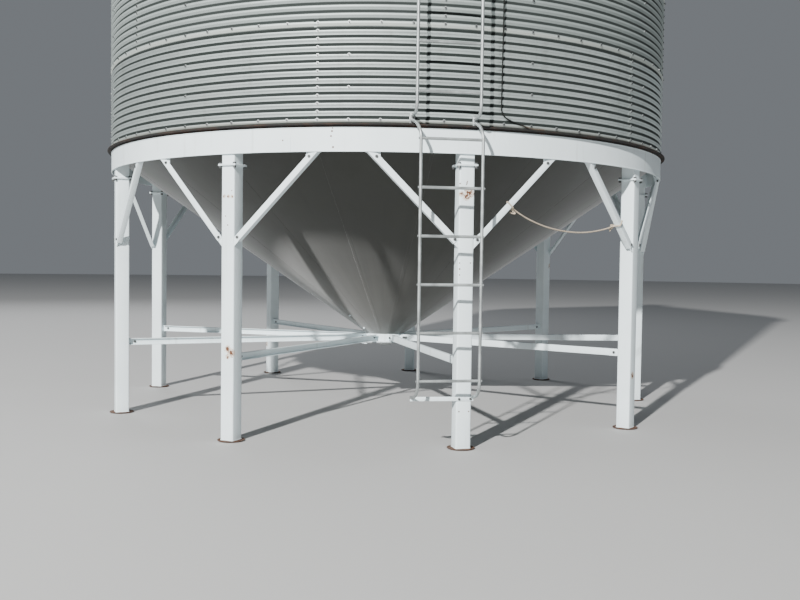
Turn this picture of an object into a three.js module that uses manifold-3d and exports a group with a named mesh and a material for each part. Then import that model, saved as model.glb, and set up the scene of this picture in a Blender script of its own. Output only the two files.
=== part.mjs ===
// Grain silo: a round corrugated steel bin on a cone hopper, carried by nine posts.
// Millimetres, +Z up. The origin is on the bin's axis at ground level.
// Angles go round the axis from the front (-Y) towards the right (+X).

import * as THREE from "three";
import { mergeVertices } from "three/addons/utils/BufferGeometryUtils.js";
import Module from "manifold-3d";

const wasm = await Module();
wasm.setup();

// Bin wall
const WALL_RADIUS = 2896; // 19 ft bin, mean radius of the corrugated sheet
const CORRUGATION_DEPTH = 12.7;
const SHEET = 1.2;
const BOLT_STEP = 5; // degrees between the bolts of a seam, 72 all round
const FIRST_BOLT = -11.2; // angle of a vertical seam of the lowest tier
const TIER_HEIGHT = 762; // one 30 in sheet
const TIER_COUNT = 6;
const SIDES = 360 / BOLT_STEP;
const GAP = 0.3; // left between pieces that touch
const WELD_SINK = 3; // how far a welded plate runs into what carries it

// Base ring and the flange that the wall stands on
const RING_BOTTOM = 2385;
const RING_TOP = 2581;
const RING_STEEL = 6;
const FLANGE_STEEL = 25;
const FLANGE_LIP = 41; // how far the flange stands out past the ring
const FLANGE_INSET = 14;

// Cone hopper
const CONE_SLOPE = 0.682; // rise for each unit of radius, 34.3 degrees
const CONE_STEEL = 5;
const CONE_APEX_Z = 599; // where the cone's sides would meet
const OUTLET_RADIUS = 203; // 16 in outlet

// Posts
const POST_COUNT = 9;
const POST_STEP = 360 / POST_COUNT;
const FIRST_POST = 12.9; // the post behind the ladder
const POST_RADIUS = 2817;
const POST_WIDTH = 127; // 5 in square tube
const FOOT_RADIUS = 115;
const FOOT_STEEL = 12;
const SPLICE_Z = 2300; // joint between the post and the stub welded to the hopper
const SPLICE_PLATE = 170;
const SPLICE_STEEL = 10;

// Knee braces from each post up to the ring, with a welded tab behind each end
const BRACE_LEG = 50.8; // 2 in angle iron
const BRACE_STEEL = 6;
const BRACE_FOOT_Z = 1667;
const BRACE_SPREAD = 14.8; // degrees from the post to the brace's top
const BRACE_INSET = 6; // the brace's outer face lies this far inside the ring
const BRACE_START = 28; // the square cut at the brace's foot, measured along it
const TAB_STEEL = 8;
const FOOT_TAB_LAP = 90; // how far the post's tab reaches along the brace
const RING_TAB_LAP = 37; // how far the ring's tab reaches back down the brace
const RING_TAB_TOP = 26; // how far the ring's tab and its lug rise inside the ring
const LUG_NEAR = 10; // the lug that carries the ring's tab, to both sides of the brace's middle
const LUG_FAR = 80;
const LUG_REACH = 45; // inwards from the ring

// Spider bars from the posts in to the outlet
const BAR_Z = 700;
const BAR_DEPTH = 64;
const BAR_FLANGE = 32;
const BAR_STEEL = 5;
const BAR_ROOM_AT_COLLAR = 30;
const BAR_ROOM_AT_POST = 15;
const CLIP_LENGTH = 110;

// Outlet collar and slide gate
const COLLAR_STEEL = 6;
const COLLAR_BOTTOM = 660;
const COLLAR_TAB_REACH = 110;
const COLLAR_TAB_INSET = 2; // the collar's tabs are this much lower than the bars, above and below
const GATE_FRAME_WIDTH = 500;
const GATE_FRAME_LENGTH = 950;
const GATE_FRAME_STEEL = 8;
const GATE_WIDTH = 440;
const GATE_LENGTH = 480;
const GATE_STEEL = 5;
const GATE_START = 10; // from the frame's front end to the plate's
const GATE_ROOM = 5; // clearance over and beside the sliding plate
const GATE_SEAT = 0.5; // play between the plate and the rails that carry it
const GATE_BEARING = 25; // how much of the plate's edge each rail carries
const GATE_WINDOW_INSET = 30; // the opening behind the outlet, from the plate's edges
const GATE_WINDOW_FRONT = 40;
const GATE_WINDOW_BACK = 60;
const GRIP_WIDTH = 120; // the plate's turned-down back edge
const GRIP_STEEL = 8;
const GRIP_INSET = 4;
const GRIP_DEPTH = 70;

// Roof
const ROOF_SLOPE = Math.tan(THREE.MathUtils.degToRad(30));
const ROOF_OVERHANG = 90;
const ROOF_DEPTH = 30; // sheet and ribs, measured upright
const FILL_RADIUS = 305;
const FILL_HEIGHT = 150;
const FILL_STEEL = 5;
const LID_ROOM = 4; // between the collar and the lid's skirt
const LID_SKIRT = 70;
const LID_RISE = 110;
const LID_TOP_RADIUS = 60;

// Ladders
const RAIL_RADIUS = 12.7; // 1 in pipe
const RUNG_RADIUS = 12.5;
const UPPER_ANGLE = 8.9;
const UPPER_SPACING = 508; // 20 in
const UPPER_RADIUS = 3080;
const UPPER_PITCH = 381; // 15 in
const UPPER_RUNGS = 12;
const FIRST_UPPER_RUNG = 2835;
const UPPER_FEET = [2670, 2659]; // heights where the left and the right rail end on the wall
const LOWER_ANGLE = 9.4;
const LOWER_SPACING = 495;
const LOWER_RADIUS = 3085;
const LOWER_PITCH = 377;
const LOWER_RUNGS = 6;
const FIRST_LOWER_RUNG = 589;
const LOWER_HEADS = [[-289, 2651], [227, 2642]]; // where its rails end on the wall: across, height
const LOWER_FEET = [[-443, 430], [70, 427]]; // and on the crossbar, across from the front post
const LOWER_HEAD_INSET = 55; // the bend at its head, in from the rail and down from its end
const LOWER_HEAD_DROP = 130;
const LOWER_FOOT_RISE = 130; // the bend at its foot, up from the end and out from the crossbar
const LOWER_FOOT_REACH = 150;
const RAIL_BEND = 110;
const RAIL_SINK = 25; // the rails run on this far past the wall's inside before the wall cuts them off
const HANDRAIL_RISE = 330; // the rails stand this far over the eave
const HANDRAIL_REACH = 400; // and run back this far over the roof
const HANDRAIL_FOOT = 60; // their ends lean on by this much
const STANDOFF_TIERS = [2.15, 3.65, 5.15]; // heights of the wall brackets, in tiers
const STANDOFF_WIDTH = 8;
const STANDOFF_DEPTH = 32;

// Crossbar that ties the ladder's foot to the front post
const CROSSBAR_ENDS = [-450, 80];
const CROSSBAR_Z = 421;
const CROSSBAR_DEPTH = 35;
const CROSSBAR_STEEL = 6;
const CROSSBAR_TILT = 1; // degrees, its right end is the lower one

// Cable from the lid down the roof and the wall to the flange: angle, radius, height
const CABLE_RADIUS = 6;
const CABLE_ROOM = 0.6;
const CABLE_ANGLE = 18.3;
const CABLE_BEND = 7.4; // round the eave's edge
const CABLE_LEAVES_LID = 8826;

// Rope tied between two knee braces
const ROPE_RADIUS = 6.5;
const ROPE_STEPS = 44;
const ROPE_ROUTE = [
  [1023, -2651, 1972], [1047, -2631, 1959], [1080, -2607, 1939], [1120, -2579, 1917], [1165, -2547, 1895],
  [1220, -2507, 1873], [1285, -2460, 1850], [1360, -2407, 1829], [1440, -2349, 1813], [1520, -2292, 1802],
  [1600, -2234, 1796], [1680, -2177, 1795], [1760, -2120, 1800], [1840, -2062, 1811], [1915, -2008, 1826],
  [1985, -1958, 1845], [2045, -1915, 1867],
];

const WALL_BOTTOM = RING_TOP + FLANGE_STEEL + 2 * GAP;
const WALL_TOP = WALL_BOTTOM + TIER_COUNT * TIER_HEIGHT;
const WALL_OUTER = WALL_RADIUS + (CORRUGATION_DEPTH + SHEET) / 2;
const WALL_INNER = WALL_RADIUS - (CORRUGATION_DEPTH + SHEET) / 2;
const RING_INNER = WALL_RADIUS - RING_STEEL;
const POST_TOP = SPLICE_Z - GAP / 2;
const FAR = 2 * WALL_RADIUS; // past the whole object, for the shapes that only cut
const UP = new THREE.Vector3(0, 0, 1);

const rad = THREE.MathUtils.degToRad;

const paint = (color) => new THREE.MeshStandardMaterial({ color, roughness: 0.5, metalness: 0.1 });
const whitePaint = paint(0xdde3e4);
const rustBrown = paint(0x4a3b33);
const galvanised = new THREE.MeshStandardMaterial({ color: 0xa9b3b4, roughness: 0.45, metalness: 0.8 });
const darkSteel = new THREE.MeshStandardMaterial({ color: 0x6f7069, roughness: 0.6, metalness: 0.5 });
const darkCable = new THREE.MeshStandardMaterial({ color: 0x34312d, roughness: 0.7, metalness: 0.2 });
const ropeFibre = new THREE.MeshStandardMaterial({ color: 0xc8b79a, roughness: 0.9, metalness: 0 });

const silo = new THREE.Group();

// Solids

function faceOutward(geometry) {
  const place = geometry.attributes.position;
  const corners = geometry.index.array;
  const [a, b, c] = [new THREE.Vector3(), new THREE.Vector3(), new THREE.Vector3()];
  let volume = 0;
  for (let i = 0; i < corners.length; i += 3) {
    a.fromBufferAttribute(place, corners[i]);
    b.fromBufferAttribute(place, corners[i + 1]);
    c.fromBufferAttribute(place, corners[i + 2]);
    volume += a.dot(b.cross(c));
  }
  if (volume < 0) {
    for (let i = 0; i < corners.length; i += 3) {
      [corners[i], corners[i + 1]] = [corners[i + 1], corners[i]];
    }
  }
  return geometry;
}

function closed(geometry) {
  const bare = geometry.clone();
  bare.deleteAttribute("normal");
  bare.deleteAttribute("uv");
  return faceOutward(mergeVertices(bare, 1e-3));
}

function solid(geometry) {
  const whole = closed(geometry);
  return new wasm.Manifold(new wasm.Mesh({
    numProp: 3,
    vertProperties: new Float32Array(whole.attributes.position.array),
    triVerts: new Uint32Array(whole.index.array),
  }));
}

function fromSolid(shape) {
  const mesh = shape.getMesh();
  const geometry = new THREE.BufferGeometry();
  geometry.setAttribute("position", new THREE.BufferAttribute(mesh.vertProperties, 3));
  geometry.setIndex(new THREE.BufferAttribute(mesh.triVerts, 1));
  return geometry;
}

const joined = (shapes) => shapes.reduce((whole, next) => whole.add(next));

function addMesh(parent, name, geometry, material) {
  const mesh = new THREE.Mesh(geometry, material);
  mesh.name = name;
  parent.add(mesh);
  return mesh;
}

// A body turned round the axis, from a profile of radius and height.
function turned(profile, sides = SIDES) {
  const points = profile.map(([radius, height]) => new THREE.Vector2(radius, height));
  return new THREE.LatheGeometry(points, sides, rad(FIRST_BOLT)).rotateX(Math.PI / 2);
}

function ring(inner, outer, low, high, sides) {
  return turned([[inner, low], [outer, low], [outer, high], [inner, high], [inner, low]], sides);
}

function disc(radius, low, high, sides) {
  return turned([[0, low], [radius, low], [radius, high], [0, high]], sides);
}

// A box given by its two extreme corners.
function block(low, high) {
  const size = high.map((value, i) => value - low[i]);
  const middle = high.map((value, i) => (value + low[i]) / 2);
  return new THREE.BoxGeometry(...size).translate(...middle);
}

// A route that is cut exactly at its own points.
class Route extends THREE.Curve {
  constructor(points) {
    super();
    this.points = points;
  }

  getPointAt(share) {
    const place = share * (this.points.length - 1);
    const i = Math.min(Math.floor(place), this.points.length - 2);
    return this.points[i].clone().lerp(this.points[i + 1], place - i);
  }

  getTangentAt(share) {
    const last = this.points.length - 1;
    const i = Math.round(share * last);
    const before = this.points[Math.max(i - 1, 0)];
    const after = this.points[Math.min(i + 1, last)];
    const here = this.points[i];
    const arriving = i > 0 ? here.clone().sub(before).normalize() : new THREE.Vector3();
    const leaving = i < last ? after.clone().sub(here).normalize() : new THREE.Vector3();
    return arriving.add(leaving).normalize();
  }
}

// Straight runs between corners, with each corner rounded off over a given reach.
function rounded(corners, reach, cuts = 4) {
  const points = [corners[0]];
  for (let i = 1; i < corners.length - 1; i += 1) {
    const [before, here, after] = [corners[i - 1], corners[i], corners[i + 1]];
    const room = Math.min(reach, here.distanceTo(before) * 0.45, here.distanceTo(after) * 0.45);
    const start = here.clone().add(before.clone().sub(here).setLength(room));
    const end = here.clone().add(after.clone().sub(here).setLength(room));
    points.push(...new THREE.QuadraticBezierCurve3(start, here, end).getPoints(cuts));
  }
  points.push(corners.at(-1));
  return points;
}

// A round bar bent along a route.
function bentBar(points, radius, sides) {
  const section = new THREE.Shape().absarc(0, 0, radius, 0, 2 * Math.PI);
  return new THREE.ExtrudeGeometry(section, {
    steps: points.length - 1, curveSegments: sides / 2, bevelEnabled: false, extrudePath: new Route(points),
  });
}

// A frame that faces outwards at an angle: x runs round the bin, y points in to the axis.
function sector(angle) {
  const group = new THREE.Group();
  group.rotation.z = rad(angle);
  silo.add(group);
  return group;
}

function turnedTo(geometry, angle) {
  return geometry.rotateZ(rad(angle));
}

const coneOuter = (radius) => CONE_APEX_Z + CONE_SLOPE * radius;
const coneRise = CONE_STEEL * Math.hypot(1, CONE_SLOPE);
const coneTopRadius = RING_INNER * Math.cos(Math.PI / SIDES) - GAP;

// Posts

function post() {
  const half = POST_WIDTH / 2;
  const plate = SPLICE_PLATE / 2;
  const inner = -POST_RADIUS + half;
  const foot = disc(FOOT_RADIUS, 0, FOOT_STEEL, 24).translate(0, -POST_RADIUS, 0);
  const pieces = [
    foot,
    block([-half, -POST_RADIUS - half, FOOT_STEEL / 2], [half, inner, POST_TOP - SPLICE_STEEL / 2]),
    block([-plate, -POST_RADIUS - plate, POST_TOP - SPLICE_STEEL], [plate, -POST_RADIUS + plate, POST_TOP]),
    block(
      [-TAB_STEEL, inner - WELD_SINK, BAR_Z - BAR_DEPTH / 2],
      [0, inner + CLIP_LENGTH, BAR_Z + BAR_DEPTH / 2],
    ),
  ];
  pieces.push(footTab(-1), footTab(1));
  return fromSolid(joined(pieces.map(solid)));
}

// Knee braces

// Where the brace's outer face meets the side of the post, and where it meets the ring.
function braceLow(side) {
  return new THREE.Vector3(side * POST_WIDTH / 2, -POST_RADIUS - POST_WIDTH / 2, BRACE_FOOT_Z);
}

function braceHigh(side) {
  const x = side * (RING_INNER - BRACE_INSET) * Math.sin(rad(BRACE_SPREAD));
  const y = -(RING_INNER - BRACE_INSET) * Math.cos(rad(BRACE_SPREAD));
  return new THREE.Vector3(x, y, RING_BOTTOM - BRACE_LEG / 2);
}

const braceLength = braceHigh(1).distanceTo(braceLow(1));
const braceRise = (braceHigh(1).z - BRACE_FOOT_Z) / braceLength; // for each unit along it
const braceRun = (braceHigh(1).x - POST_WIDTH / 2) / braceLength;

// The brace's own frame, in its post's: across it and downwards, in to the axis, and along it.
function braceFrame(side) {
  const along = braceHigh(side).sub(braceLow(side)).normalize();
  const inward = new THREE.Vector3(0, 1, 0).addScaledVector(along, -along.y).normalize();
  const across = new THREE.Vector3().crossVectors(inward, along).multiplyScalar(side);
  return new THREE.Matrix4().makeBasis(across, inward, along).setPosition(braceLow(side));
}

const alongBrace = (geometry, side) => geometry.applyMatrix4(braceFrame(side));

const outlined = (points) => new THREE.Shape(points.map(([x, y]) => new THREE.Vector2(x, y)));

// A plate behind the brace's outer leg, from its outline across and along the brace.
function tabPlate(side, outline) {
  const plate = new THREE.ExtrudeGeometry(outlined(outline), { depth: TAB_STEEL, bevelEnabled: false });
  return alongBrace(plate.rotateX(Math.PI / 2).translate(0, BRACE_STEEL + GAP + TAB_STEEL, 0), side);
}

// How far along the brace a line at a given distance across it comes to an upright line.
const alongAt = (sidestep, across) => (sidestep - across * braceRise) / braceRun;

// The tab on the post's side. Below the brace's square end it has the brace's full width.
function footTab(side) {
  const half = BRACE_LEG / 2;
  const inner = half - BRACE_STEEL - GAP;
  return tabPlate(side, [
    [-half, alongAt(-WELD_SINK, -half)], [half, alongAt(-WELD_SINK, half)],
    [half, BRACE_START - GAP], [inner, BRACE_START - GAP],
    [inner, FOOT_TAB_LAP], [-half, FOOT_TAB_LAP],
  ]);
}

// The tab on the ring: its edge towards the post is upright, its top is level.
function ringTab(side) {
  const near = -BRACE_LEG / 2;
  const far = BRACE_LEG / 2 - BRACE_STEEL - GAP;
  const low = braceLength - RING_TAB_LAP;
  const rise = RING_BOTTOM + RING_TAB_TOP - (BRACE_FOOT_Z - near * braceRun + low * braceRise);
  const corner = [near - rise * braceRun, low + rise * braceRise];
  const top = corner[1] + (far - corner[0]) * braceRun / braceRise;
  return tabPlate(side, [[near, low], [far, low], [far, top], corner]);
}

function brace(side) {
  const half = BRACE_LEG / 2;
  const section = outlined([
    [-half, 0], [half, 0], [half, BRACE_LEG], [half - BRACE_STEEL, BRACE_LEG],
    [half - BRACE_STEEL, BRACE_STEEL], [-half, BRACE_STEEL],
  ]);
  const bar = new THREE.ExtrudeGeometry(section, { depth: braceLength + BRACE_LEG, bevelEnabled: false });
  const ringRoom = block([-FAR, -FAR, RING_BOTTOM - GAP], [FAR, 0, RING_TOP]);
  const trimmed = solid(alongBrace(bar.translate(0, 0, BRACE_START), side));
  return fromSolid(trimmed.subtract(solid(ringRoom)));
}

for (let i = 0; i < POST_COUNT; i += 1) {
  const place = sector(FIRST_POST + i * POST_STEP);
  addMesh(place, `post_${i + 1}`, post(), whitePaint);
  addMesh(place, `brace_left_${i + 1}`, brace(-1), whitePaint);
  addMesh(place, `brace_right_${i + 1}`, brace(1), whitePaint);
}

// Spider bars

function spiderBar() {
  const section = outlined([
    [0, -BAR_DEPTH / 2], [BAR_FLANGE, -BAR_DEPTH / 2], [BAR_FLANGE, -BAR_DEPTH / 2 + BAR_STEEL],
    [BAR_STEEL, -BAR_DEPTH / 2 + BAR_STEEL], [BAR_STEEL, BAR_DEPTH / 2 - BAR_STEEL],
    [BAR_FLANGE, BAR_DEPTH / 2 - BAR_STEEL], [BAR_FLANGE, BAR_DEPTH / 2], [0, BAR_DEPTH / 2],
  ]);
  const start = OUTLET_RADIUS + COLLAR_STEEL + BAR_ROOM_AT_COLLAR;
  const end = POST_RADIUS - POST_WIDTH / 2 - BAR_ROOM_AT_POST;
  const bar = new THREE.ExtrudeGeometry(section, { depth: end - start, bevelEnabled: false });
  return closed(bar.rotateX(Math.PI / 2).translate(GAP, -start, BAR_Z));
}

for (let i = 0; i < POST_COUNT; i += 1) {
  addMesh(sector(FIRST_POST + i * POST_STEP), `spider_bar_${i + 1}`, spiderBar(), whitePaint);
}

// Base ring with the post stubs and brace tabs welded to it

function hopperRing() {
  const pieces = [solid(ring(RING_INNER, WALL_RADIUS, RING_BOTTOM, RING_TOP))];
  const half = POST_WIDTH / 2;
  const plate = SPLICE_PLATE / 2;
  const low = SPLICE_Z + GAP / 2;
  for (let i = 0; i < POST_COUNT; i += 1) {
    const angle = FIRST_POST + i * POST_STEP;
    const stub = block(
      [-half, -POST_RADIUS - half, low + SPLICE_STEEL / 2],
      [half, -POST_RADIUS + half, RING_TOP],
    );
    const backing = block(
      [-half, -RING_INNER - WELD_SINK, RING_BOTTOM + RING_STEEL],
      [half, -POST_RADIUS, RING_TOP - RING_STEEL],
    );
    const foot = block(
      [-plate, -POST_RADIUS - plate, low],
      [plate, -POST_RADIUS + plate, low + SPLICE_STEEL],
    );
    pieces.push(...[stub, backing, foot].map((shape) => solid(turnedTo(shape, angle))));
    for (const side of [-1, 1]) {
      const [near, far] = [-side * LUG_NEAR, side * LUG_FAR].sort((a, b) => a - b);
      const lug = block(
        [near, -RING_INNER - WELD_SINK, RING_BOTTOM],
        [far, -RING_INNER + LUG_REACH, RING_BOTTOM + RING_TAB_TOP],
      );
      pieces.push(solid(turnedTo(ringTab(side), angle)));
      pieces.push(solid(turnedTo(lug, angle + side * BRACE_SPREAD)));
    }
  }
  const coneLow = coneOuter(0) - 2 * GAP;
  const coneRoom = turned([[0, coneLow], [FAR, coneLow + CONE_SLOPE * FAR], [0, coneLow + CONE_SLOPE * FAR]]);
  const outside = ring(RING_INNER, FAR, 0, FAR);
  return fromSolid(joined(pieces).subtract(solid(coneRoom).subtract(solid(outside))));
}

addMesh(silo, "hopper_ring", hopperRing(), whitePaint);
addMesh(silo, "base_flange", closed(ring(
  WALL_RADIUS - FLANGE_INSET, WALL_RADIUS + FLANGE_LIP, RING_TOP + GAP, RING_TOP + GAP + FLANGE_STEEL,
)), rustBrown);

// Cone hopper

const coneProfile = [
  [OUTLET_RADIUS, coneOuter(OUTLET_RADIUS)],
  [coneTopRadius, coneOuter(coneTopRadius)],
  [coneTopRadius, coneOuter(coneTopRadius) + coneRise],
  [OUTLET_RADIUS, coneOuter(OUTLET_RADIUS) + coneRise],
  [OUTLET_RADIUS, coneOuter(OUTLET_RADIUS)],
];
addMesh(silo, "hopper_cone", closed(turned(coneProfile)), darkSteel);

// Outlet collar

function outletCollar() {
  const outer = OUTLET_RADIUS + COLLAR_STEEL;
  const top = coneOuter(OUTLET_RADIUS) - GAP;
  const pieces = [
    solid(turned([
      [OUTLET_RADIUS, COLLAR_BOTTOM], [outer, COLLAR_BOTTOM],
      [outer, top], [OUTLET_RADIUS, top], [OUTLET_RADIUS, COLLAR_BOTTOM],
    ])),
  ];
  for (let i = 0; i < POST_COUNT; i += 1) {
    const tab = block(
      [-TAB_STEEL, -outer - COLLAR_TAB_REACH, BAR_Z - BAR_DEPTH / 2 + COLLAR_TAB_INSET],
      [0, -outer + WELD_SINK, BAR_Z + BAR_DEPTH / 2 - COLLAR_TAB_INSET],
    );
    pieces.push(solid(turnedTo(tab, FIRST_POST + i * POST_STEP)));
  }
  return fromSolid(joined(pieces));
}

addMesh(silo, "outlet_collar", outletCollar(), whitePaint);

// Slide gate: a frame under the collar, and the plate that slides back in it

function gateFrame() {
  const half = GATE_FRAME_WIDTH / 2;
  const top = COLLAR_BOTTOM - GAP;
  const plateLow = top - GATE_FRAME_STEEL;
  const railLow = plateLow - GATE_ROOM - GATE_STEEL - GATE_SEAT - GATE_FRAME_STEEL;
  const back = GATE_FRAME_LENGTH - half;
  const face = block([-half, -half, plateLow], [half, back, top]);
  const bore = disc(OUTLET_RADIUS, railLow, COLLAR_BOTTOM);
  const pieces = [solid(face).subtract(solid(bore))];
  for (const side of [-1, 1]) {
    const edge = side * half;
    const inside = side * (GATE_WIDTH / 2 + GATE_ROOM);
    const lip = side * (GATE_WIDTH / 2 - GATE_BEARING);
    const wall = block(
      [Math.min(edge, inside), -half, railLow],
      [Math.max(edge, inside), back, top],
    );
    const shelf = block(
      [Math.min(edge, lip), -half, railLow],
      [Math.max(edge, lip), back, railLow + GATE_FRAME_STEEL],
    );
    pieces.push(solid(wall), solid(shelf));
  }
  const reach = GATE_WIDTH / 2 - GATE_WINDOW_INSET;
  const opening = block(
    [-reach, half + GATE_WINDOW_FRONT, plateLow - GATE_ROOM],
    [reach, back - GATE_WINDOW_BACK, COLLAR_BOTTOM],
  );
  return fromSolid(joined(pieces).subtract(solid(opening)));
}

function gatePlate() {
  const top = COLLAR_BOTTOM - GAP - GATE_FRAME_STEEL - GATE_ROOM;
  const front = -GATE_FRAME_WIDTH / 2 + GATE_START;
  const back = front + GATE_LENGTH;
  const plate = block([-GATE_WIDTH / 2, front, top - GATE_STEEL], [GATE_WIDTH / 2, back, top]);
  const grip = block(
    [-GRIP_WIDTH / 2, back - GRIP_INSET - GRIP_STEEL, top - GRIP_DEPTH],
    [GRIP_WIDTH / 2, back - GRIP_INSET, top - GATE_STEEL / 2],
  );
  return fromSolid(solid(plate).add(solid(grip)));
}

addMesh(silo, "gate_frame", gateFrame(), whitePaint);
addMesh(silo, "gate_plate", gatePlate(), galvanised);

// Wall: the shell that holds the corrugated sheets, crest to crest

addMesh(silo, "wall", closed(ring(WALL_INNER, WALL_OUTER, WALL_BOTTOM, WALL_TOP)), galvanised);

// Roof, fill collar and lid

const roofUnder = (radius) => WALL_TOP + (WALL_OUTER - radius) * ROOF_SLOPE;
const roofOver = (radius) => roofUnder(radius) + ROOF_DEPTH;
const eaveRadius = WALL_RADIUS + ROOF_OVERHANG;

addMesh(silo, "roof", closed(turned([
  [FILL_RADIUS, roofUnder(FILL_RADIUS)], [eaveRadius, roofUnder(eaveRadius)],
  [eaveRadius, roofOver(eaveRadius)], [FILL_RADIUS, roofOver(FILL_RADIUS)],
  [FILL_RADIUS, roofUnder(FILL_RADIUS)],
])), galvanised);

const fillOuter = FILL_RADIUS + FILL_STEEL;
const fillTop = roofOver(FILL_RADIUS) + FILL_HEIGHT;
addMesh(silo, "fill_collar", closed(turned([
  [FILL_RADIUS, roofOver(FILL_RADIUS) + GAP], [fillOuter, roofOver(fillOuter) + GAP],
  [fillOuter, fillTop], [FILL_RADIUS, fillTop], [FILL_RADIUS, roofOver(FILL_RADIUS) + GAP],
])), galvanised);

const lidInner = fillOuter + LID_ROOM;
const lidOuter = lidInner + FILL_STEEL;
const lidSeat = fillTop + GAP;
addMesh(silo, "fill_lid", closed(turned([
  [0, lidSeat], [lidInner, lidSeat], [lidInner, lidSeat - LID_SKIRT], [lidOuter, lidSeat - LID_SKIRT],
  [lidOuter, lidSeat + FILL_STEEL], [LID_TOP_RADIUS, lidSeat + LID_RISE], [0, lidSeat + LID_RISE],
])), galvanised);

// Ladders

function rungs(radius, spacing, low, pitch, count) {
  const shapes = [];
  for (let i = 0; i < count; i += 1) {
    const rung = new THREE.CylinderGeometry(RUNG_RADIUS, RUNG_RADIUS, spacing, 8).rotateZ(Math.PI / 2);
    shapes.push(solid(rung.translate(0, -radius, low + i * pitch)));
  }
  return shapes;
}

const inSector = (points) => points.map(([x, radius, z]) => new THREE.Vector3(x, -radius, z));
const rail = (corners, reach) => solid(bentBar(rounded(corners, reach), RAIL_RADIUS, 10));

// The wall with the usual gap all round it, as it stands in a ladder's own frame.
function wallRoom(angle) {
  return solid(disc(WALL_OUTER + GAP, RING_BOTTOM, WALL_TOP).rotateZ(rad(-angle)));
}

function roofRoom(angle) {
  const profile = [
    [0, WALL_TOP], [eaveRadius, roofUnder(eaveRadius)],
    [eaveRadius, roofOver(eaveRadius) + GAP], [0, roofOver(0) + GAP],
  ];
  return solid(turned(profile).rotateZ(rad(-angle)));
}

function upperLadder() {
  const pieces = rungs(UPPER_RADIUS, UPPER_SPACING, FIRST_UPPER_RUNG, UPPER_PITCH, UPPER_RUNGS);
  const top = WALL_TOP + HANDRAIL_RISE;
  const back = UPPER_RADIUS - HANDRAIL_REACH;
  [-1, 1].forEach((side, i) => {
    const x = side * UPPER_SPACING / 2;
    pieces.push(rail(inSector([
      [x, WALL_INNER - RAIL_SINK, UPPER_FEET[i]], [x, UPPER_RADIUS, UPPER_FEET[i] + RAIL_RADIUS],
      [x, UPPER_RADIUS, top], [x, back, top], [x, back - HANDRAIL_FOOT, WALL_TOP + HANDRAIL_FOOT],
    ]), RAIL_BEND));
    for (const tier of STANDOFF_TIERS) {
      const z = WALL_BOTTOM + tier * TIER_HEIGHT;
      pieces.push(solid(block(
        [x - STANDOFF_WIDTH / 2, -UPPER_RADIUS, z - STANDOFF_DEPTH / 2],
        [x + STANDOFF_WIDTH / 2, -WALL_INNER, z + STANDOFF_DEPTH / 2],
      )));
    }
  });
  return fromSolid(joined(pieces).subtract(wallRoom(UPPER_ANGLE)).subtract(roofRoom(UPPER_ANGLE)));
}

const crossbarFace = POST_RADIUS + POST_WIDTH / 2 + GAP + CROSSBAR_STEEL;

// Everything behind the crossbar's face, as it stands in the lower ladder's frame.
function crossbarRoom() {
  const room = block([-FAR, -crossbarFace - GAP, 0], [FAR, 0, RING_BOTTOM / 2]);
  return solid(room.rotateZ(rad(FIRST_POST - LOWER_ANGLE)));
}

function lowerLadder() {
  const pieces = rungs(LOWER_RADIUS, LOWER_SPACING, FIRST_LOWER_RUNG, LOWER_PITCH, LOWER_RUNGS);
  [-1, 1].forEach((side, i) => {
    const x = side * LOWER_SPACING / 2;
    const [headX, headZ] = LOWER_HEADS[i];
    const [footX, footZ] = LOWER_FEET[i];
    const atCrossbar = (reach, z) => new THREE.Vector3(footX, -reach, z)
      .applyAxisAngle(UP, rad(FIRST_POST - LOWER_ANGLE));
    pieces.push(rail([
      ...inSector([
        [headX, WALL_INNER - RAIL_SINK, headZ],
        [(headX + x) / 2, LOWER_RADIUS - LOWER_HEAD_INSET, headZ - LOWER_HEAD_INSET],
        [x, LOWER_RADIUS, headZ - LOWER_HEAD_DROP], [x, LOWER_RADIUS, footZ + LOWER_FOOT_RISE],
      ]),
      atCrossbar(crossbarFace + LOWER_FOOT_REACH, footZ + RAIL_RADIUS * 2),
      atCrossbar(POST_RADIUS, footZ),
    ], RAIL_BEND));
  });
  return fromSolid(joined(pieces).subtract(wallRoom(LOWER_ANGLE)).subtract(crossbarRoom()));
}

addMesh(sector(UPPER_ANGLE), "ladder_upper", upperLadder(), galvanised);
addMesh(sector(LOWER_ANGLE), "ladder_lower", lowerLadder(), galvanised);

const [crossbarLeft, crossbarRight] = CROSSBAR_ENDS;
const crossbarLength = crossbarRight - crossbarLeft;
const crossbar = new THREE.BoxGeometry(crossbarLength, CROSSBAR_STEEL, CROSSBAR_DEPTH);
crossbar.rotateY(rad(CROSSBAR_TILT));
crossbar.translate((crossbarLeft + crossbarRight) / 2, -crossbarFace + CROSSBAR_STEEL / 2, CROSSBAR_Z);
addMesh(sector(FIRST_POST), "ladder_crossbar", closed(crossbar), whitePaint);

// Cable from the lid, over the eave and along the wall's foot on to the flange

const clear = CABLE_RADIUS + CABLE_ROOM;
const overRoof = (radius) => roofOver(radius) + clear * Math.hypot(1, ROOF_SLOPE);
const atWall = WALL_OUTER + clear;
const onFlange = RING_TOP + GAP + FLANGE_STEEL + clear;
const atLid = lidOuter + GAP;
const roundEave = (degrees) => [
  CABLE_ANGLE,
  eaveRadius + CABLE_BEND * Math.cos(rad(degrees)),
  roofOver(eaveRadius) + CABLE_BEND * Math.sin(rad(degrees)),
];

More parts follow.
